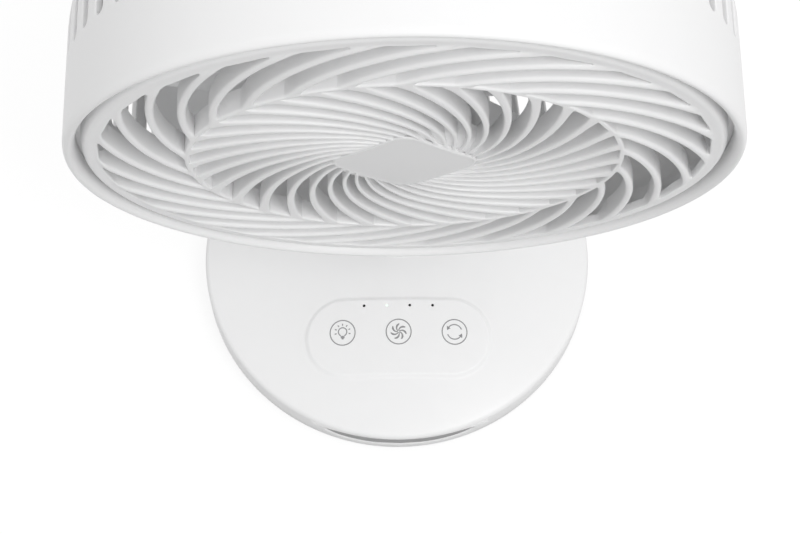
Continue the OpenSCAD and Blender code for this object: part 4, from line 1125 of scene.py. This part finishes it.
def well_sector():
    """Two shortened vents with a screw well between them, over twice the usual step."""
    lo, hi = cover_stops[0], cover_stops[-1]
    start = straight + back_round * math.acos((well_at - 5 - flat_r) / back_round)
    first = start + cover_slot(start)
    stops = stops_for(lo, first, back_last, hi, 12)
    ways = np.linspace(-1, 1, 2 * pitch + 1)
    border = [(half_step(lo, x), lo) for x in ways]
    border += [(half_step(t, 1), t) for t in cover_stops[1:-1]]
    border += [(half_step(hi, x), hi) for x in ways[::-1]]
    border += [(-half_step(t, 1), t) for t in cover_stops[1:-1][::-1]]
    slot = vent_loops(stops, first, back_last, cover_slot)[1]

    def shifted(loop, side_of):
        return np.array([(x + side_of * half_step(t), t) for x, t in loop])

    turn = full_turn(well_points)

    def well(radius, down):
        out = []
        for x, y in zip(well_at + radius * np.cos(turn), radius * np.sin(turn)):
            t = straight + back_round * math.acos((math.hypot(x, y) - flat_r) / (back_round - down))
            out.append((math.atan2(y, x) * side(t)[0], t))
        return np.array(out)[::-1]

    loose = [(half_step(t, x), t) for t in np.linspace(lo, hi, 22)[1:-1]
             for x in np.linspace(-1, 1, 13)[1:-1]]
    parts = []
    for down, grow, bore in ((0, 0.5, well_r + 0.3), (wall, 0.3, well_r + 0.9)):
        holes = [outset(shifted(slot, k), grow) for k in (-1, 1)] + [well(bore, down)]
        free = [p for p in loose if not any(within([p[0]], [p[1]], outset(h, 0.8))[0] for h in holes)]
        flat, faces = sheet([np.array(border)] + holes, free,
                            lambda u, t: ~np.any([within(u, t, h) for h in holes], axis=0))
        parts.append((on_side(flat, down), faces))
    for k in (-1, 1):
        own = shifted(slot, k)
        rows = [on_side(outset(own, out), down) for out, down in round_edge(0.5, 3)]
        rows += [on_side(own, wall - 0.3), on_side(outset(own, 0.3), wall)]
        parts.append(band(rows))
    rows = [on_side(well(well_r + 0.3, 0))]
    for ring_r, down in ((well_r + 0.09, 0.09), (well_r, 0.3)):
        row = on_side(well(ring_r, 0))
        row[:, 2] += down
        rows.append(row)
    way = turn[::-1]
    for ring_r, s in ((well_r, well_floor), (screw_r, well_floor), (screw_r, well_foot),
                      (well_r + 0.9, well_foot)):
        rows.append(np.column_stack([well_at + ring_r * np.cos(way), ring_r * np.sin(way),
                                     np.full(well_points, -s)]))
    rows.append(on_side(well(well_r + 0.9, wall), wall))
    parts.append(band(rows))
    return moulding(parts)


back_vent = vent_panel(cover_stops, back_first, back_last, cover_slot)
ten_vents = turned("back_vents", back_vent, 10, pitch, 9, shell_plastic)
cover = [cover_rings(), turned("vent_groups", ten_vents, wells, 360 / wells, 270, shell_plastic),
         turned("screw_wells", well_sector(), wells, 360 / wells, 270, shell_plastic)]
assembled("back_cover", cover, shell_plastic, "head", ["rear_cover"], in_head)

# ---- Motor windings and cables --------------------------------------------------------
# Enamelled copper wire is wound round the poles of the motor. A dark sheathed cable runs
# up through the neck and on to the driver board in the head.
finish(grained("copper", (0.6, 0.25, 0.1), 0.35, 2000, 0.3, 0.1, metal=0.8), "motor_stator")
finish(grained("cable_sheath", (0.05, 0.05, 0.052), 0.6, 1500, 0.3, 0.1), "neck_lead", "head_lead")
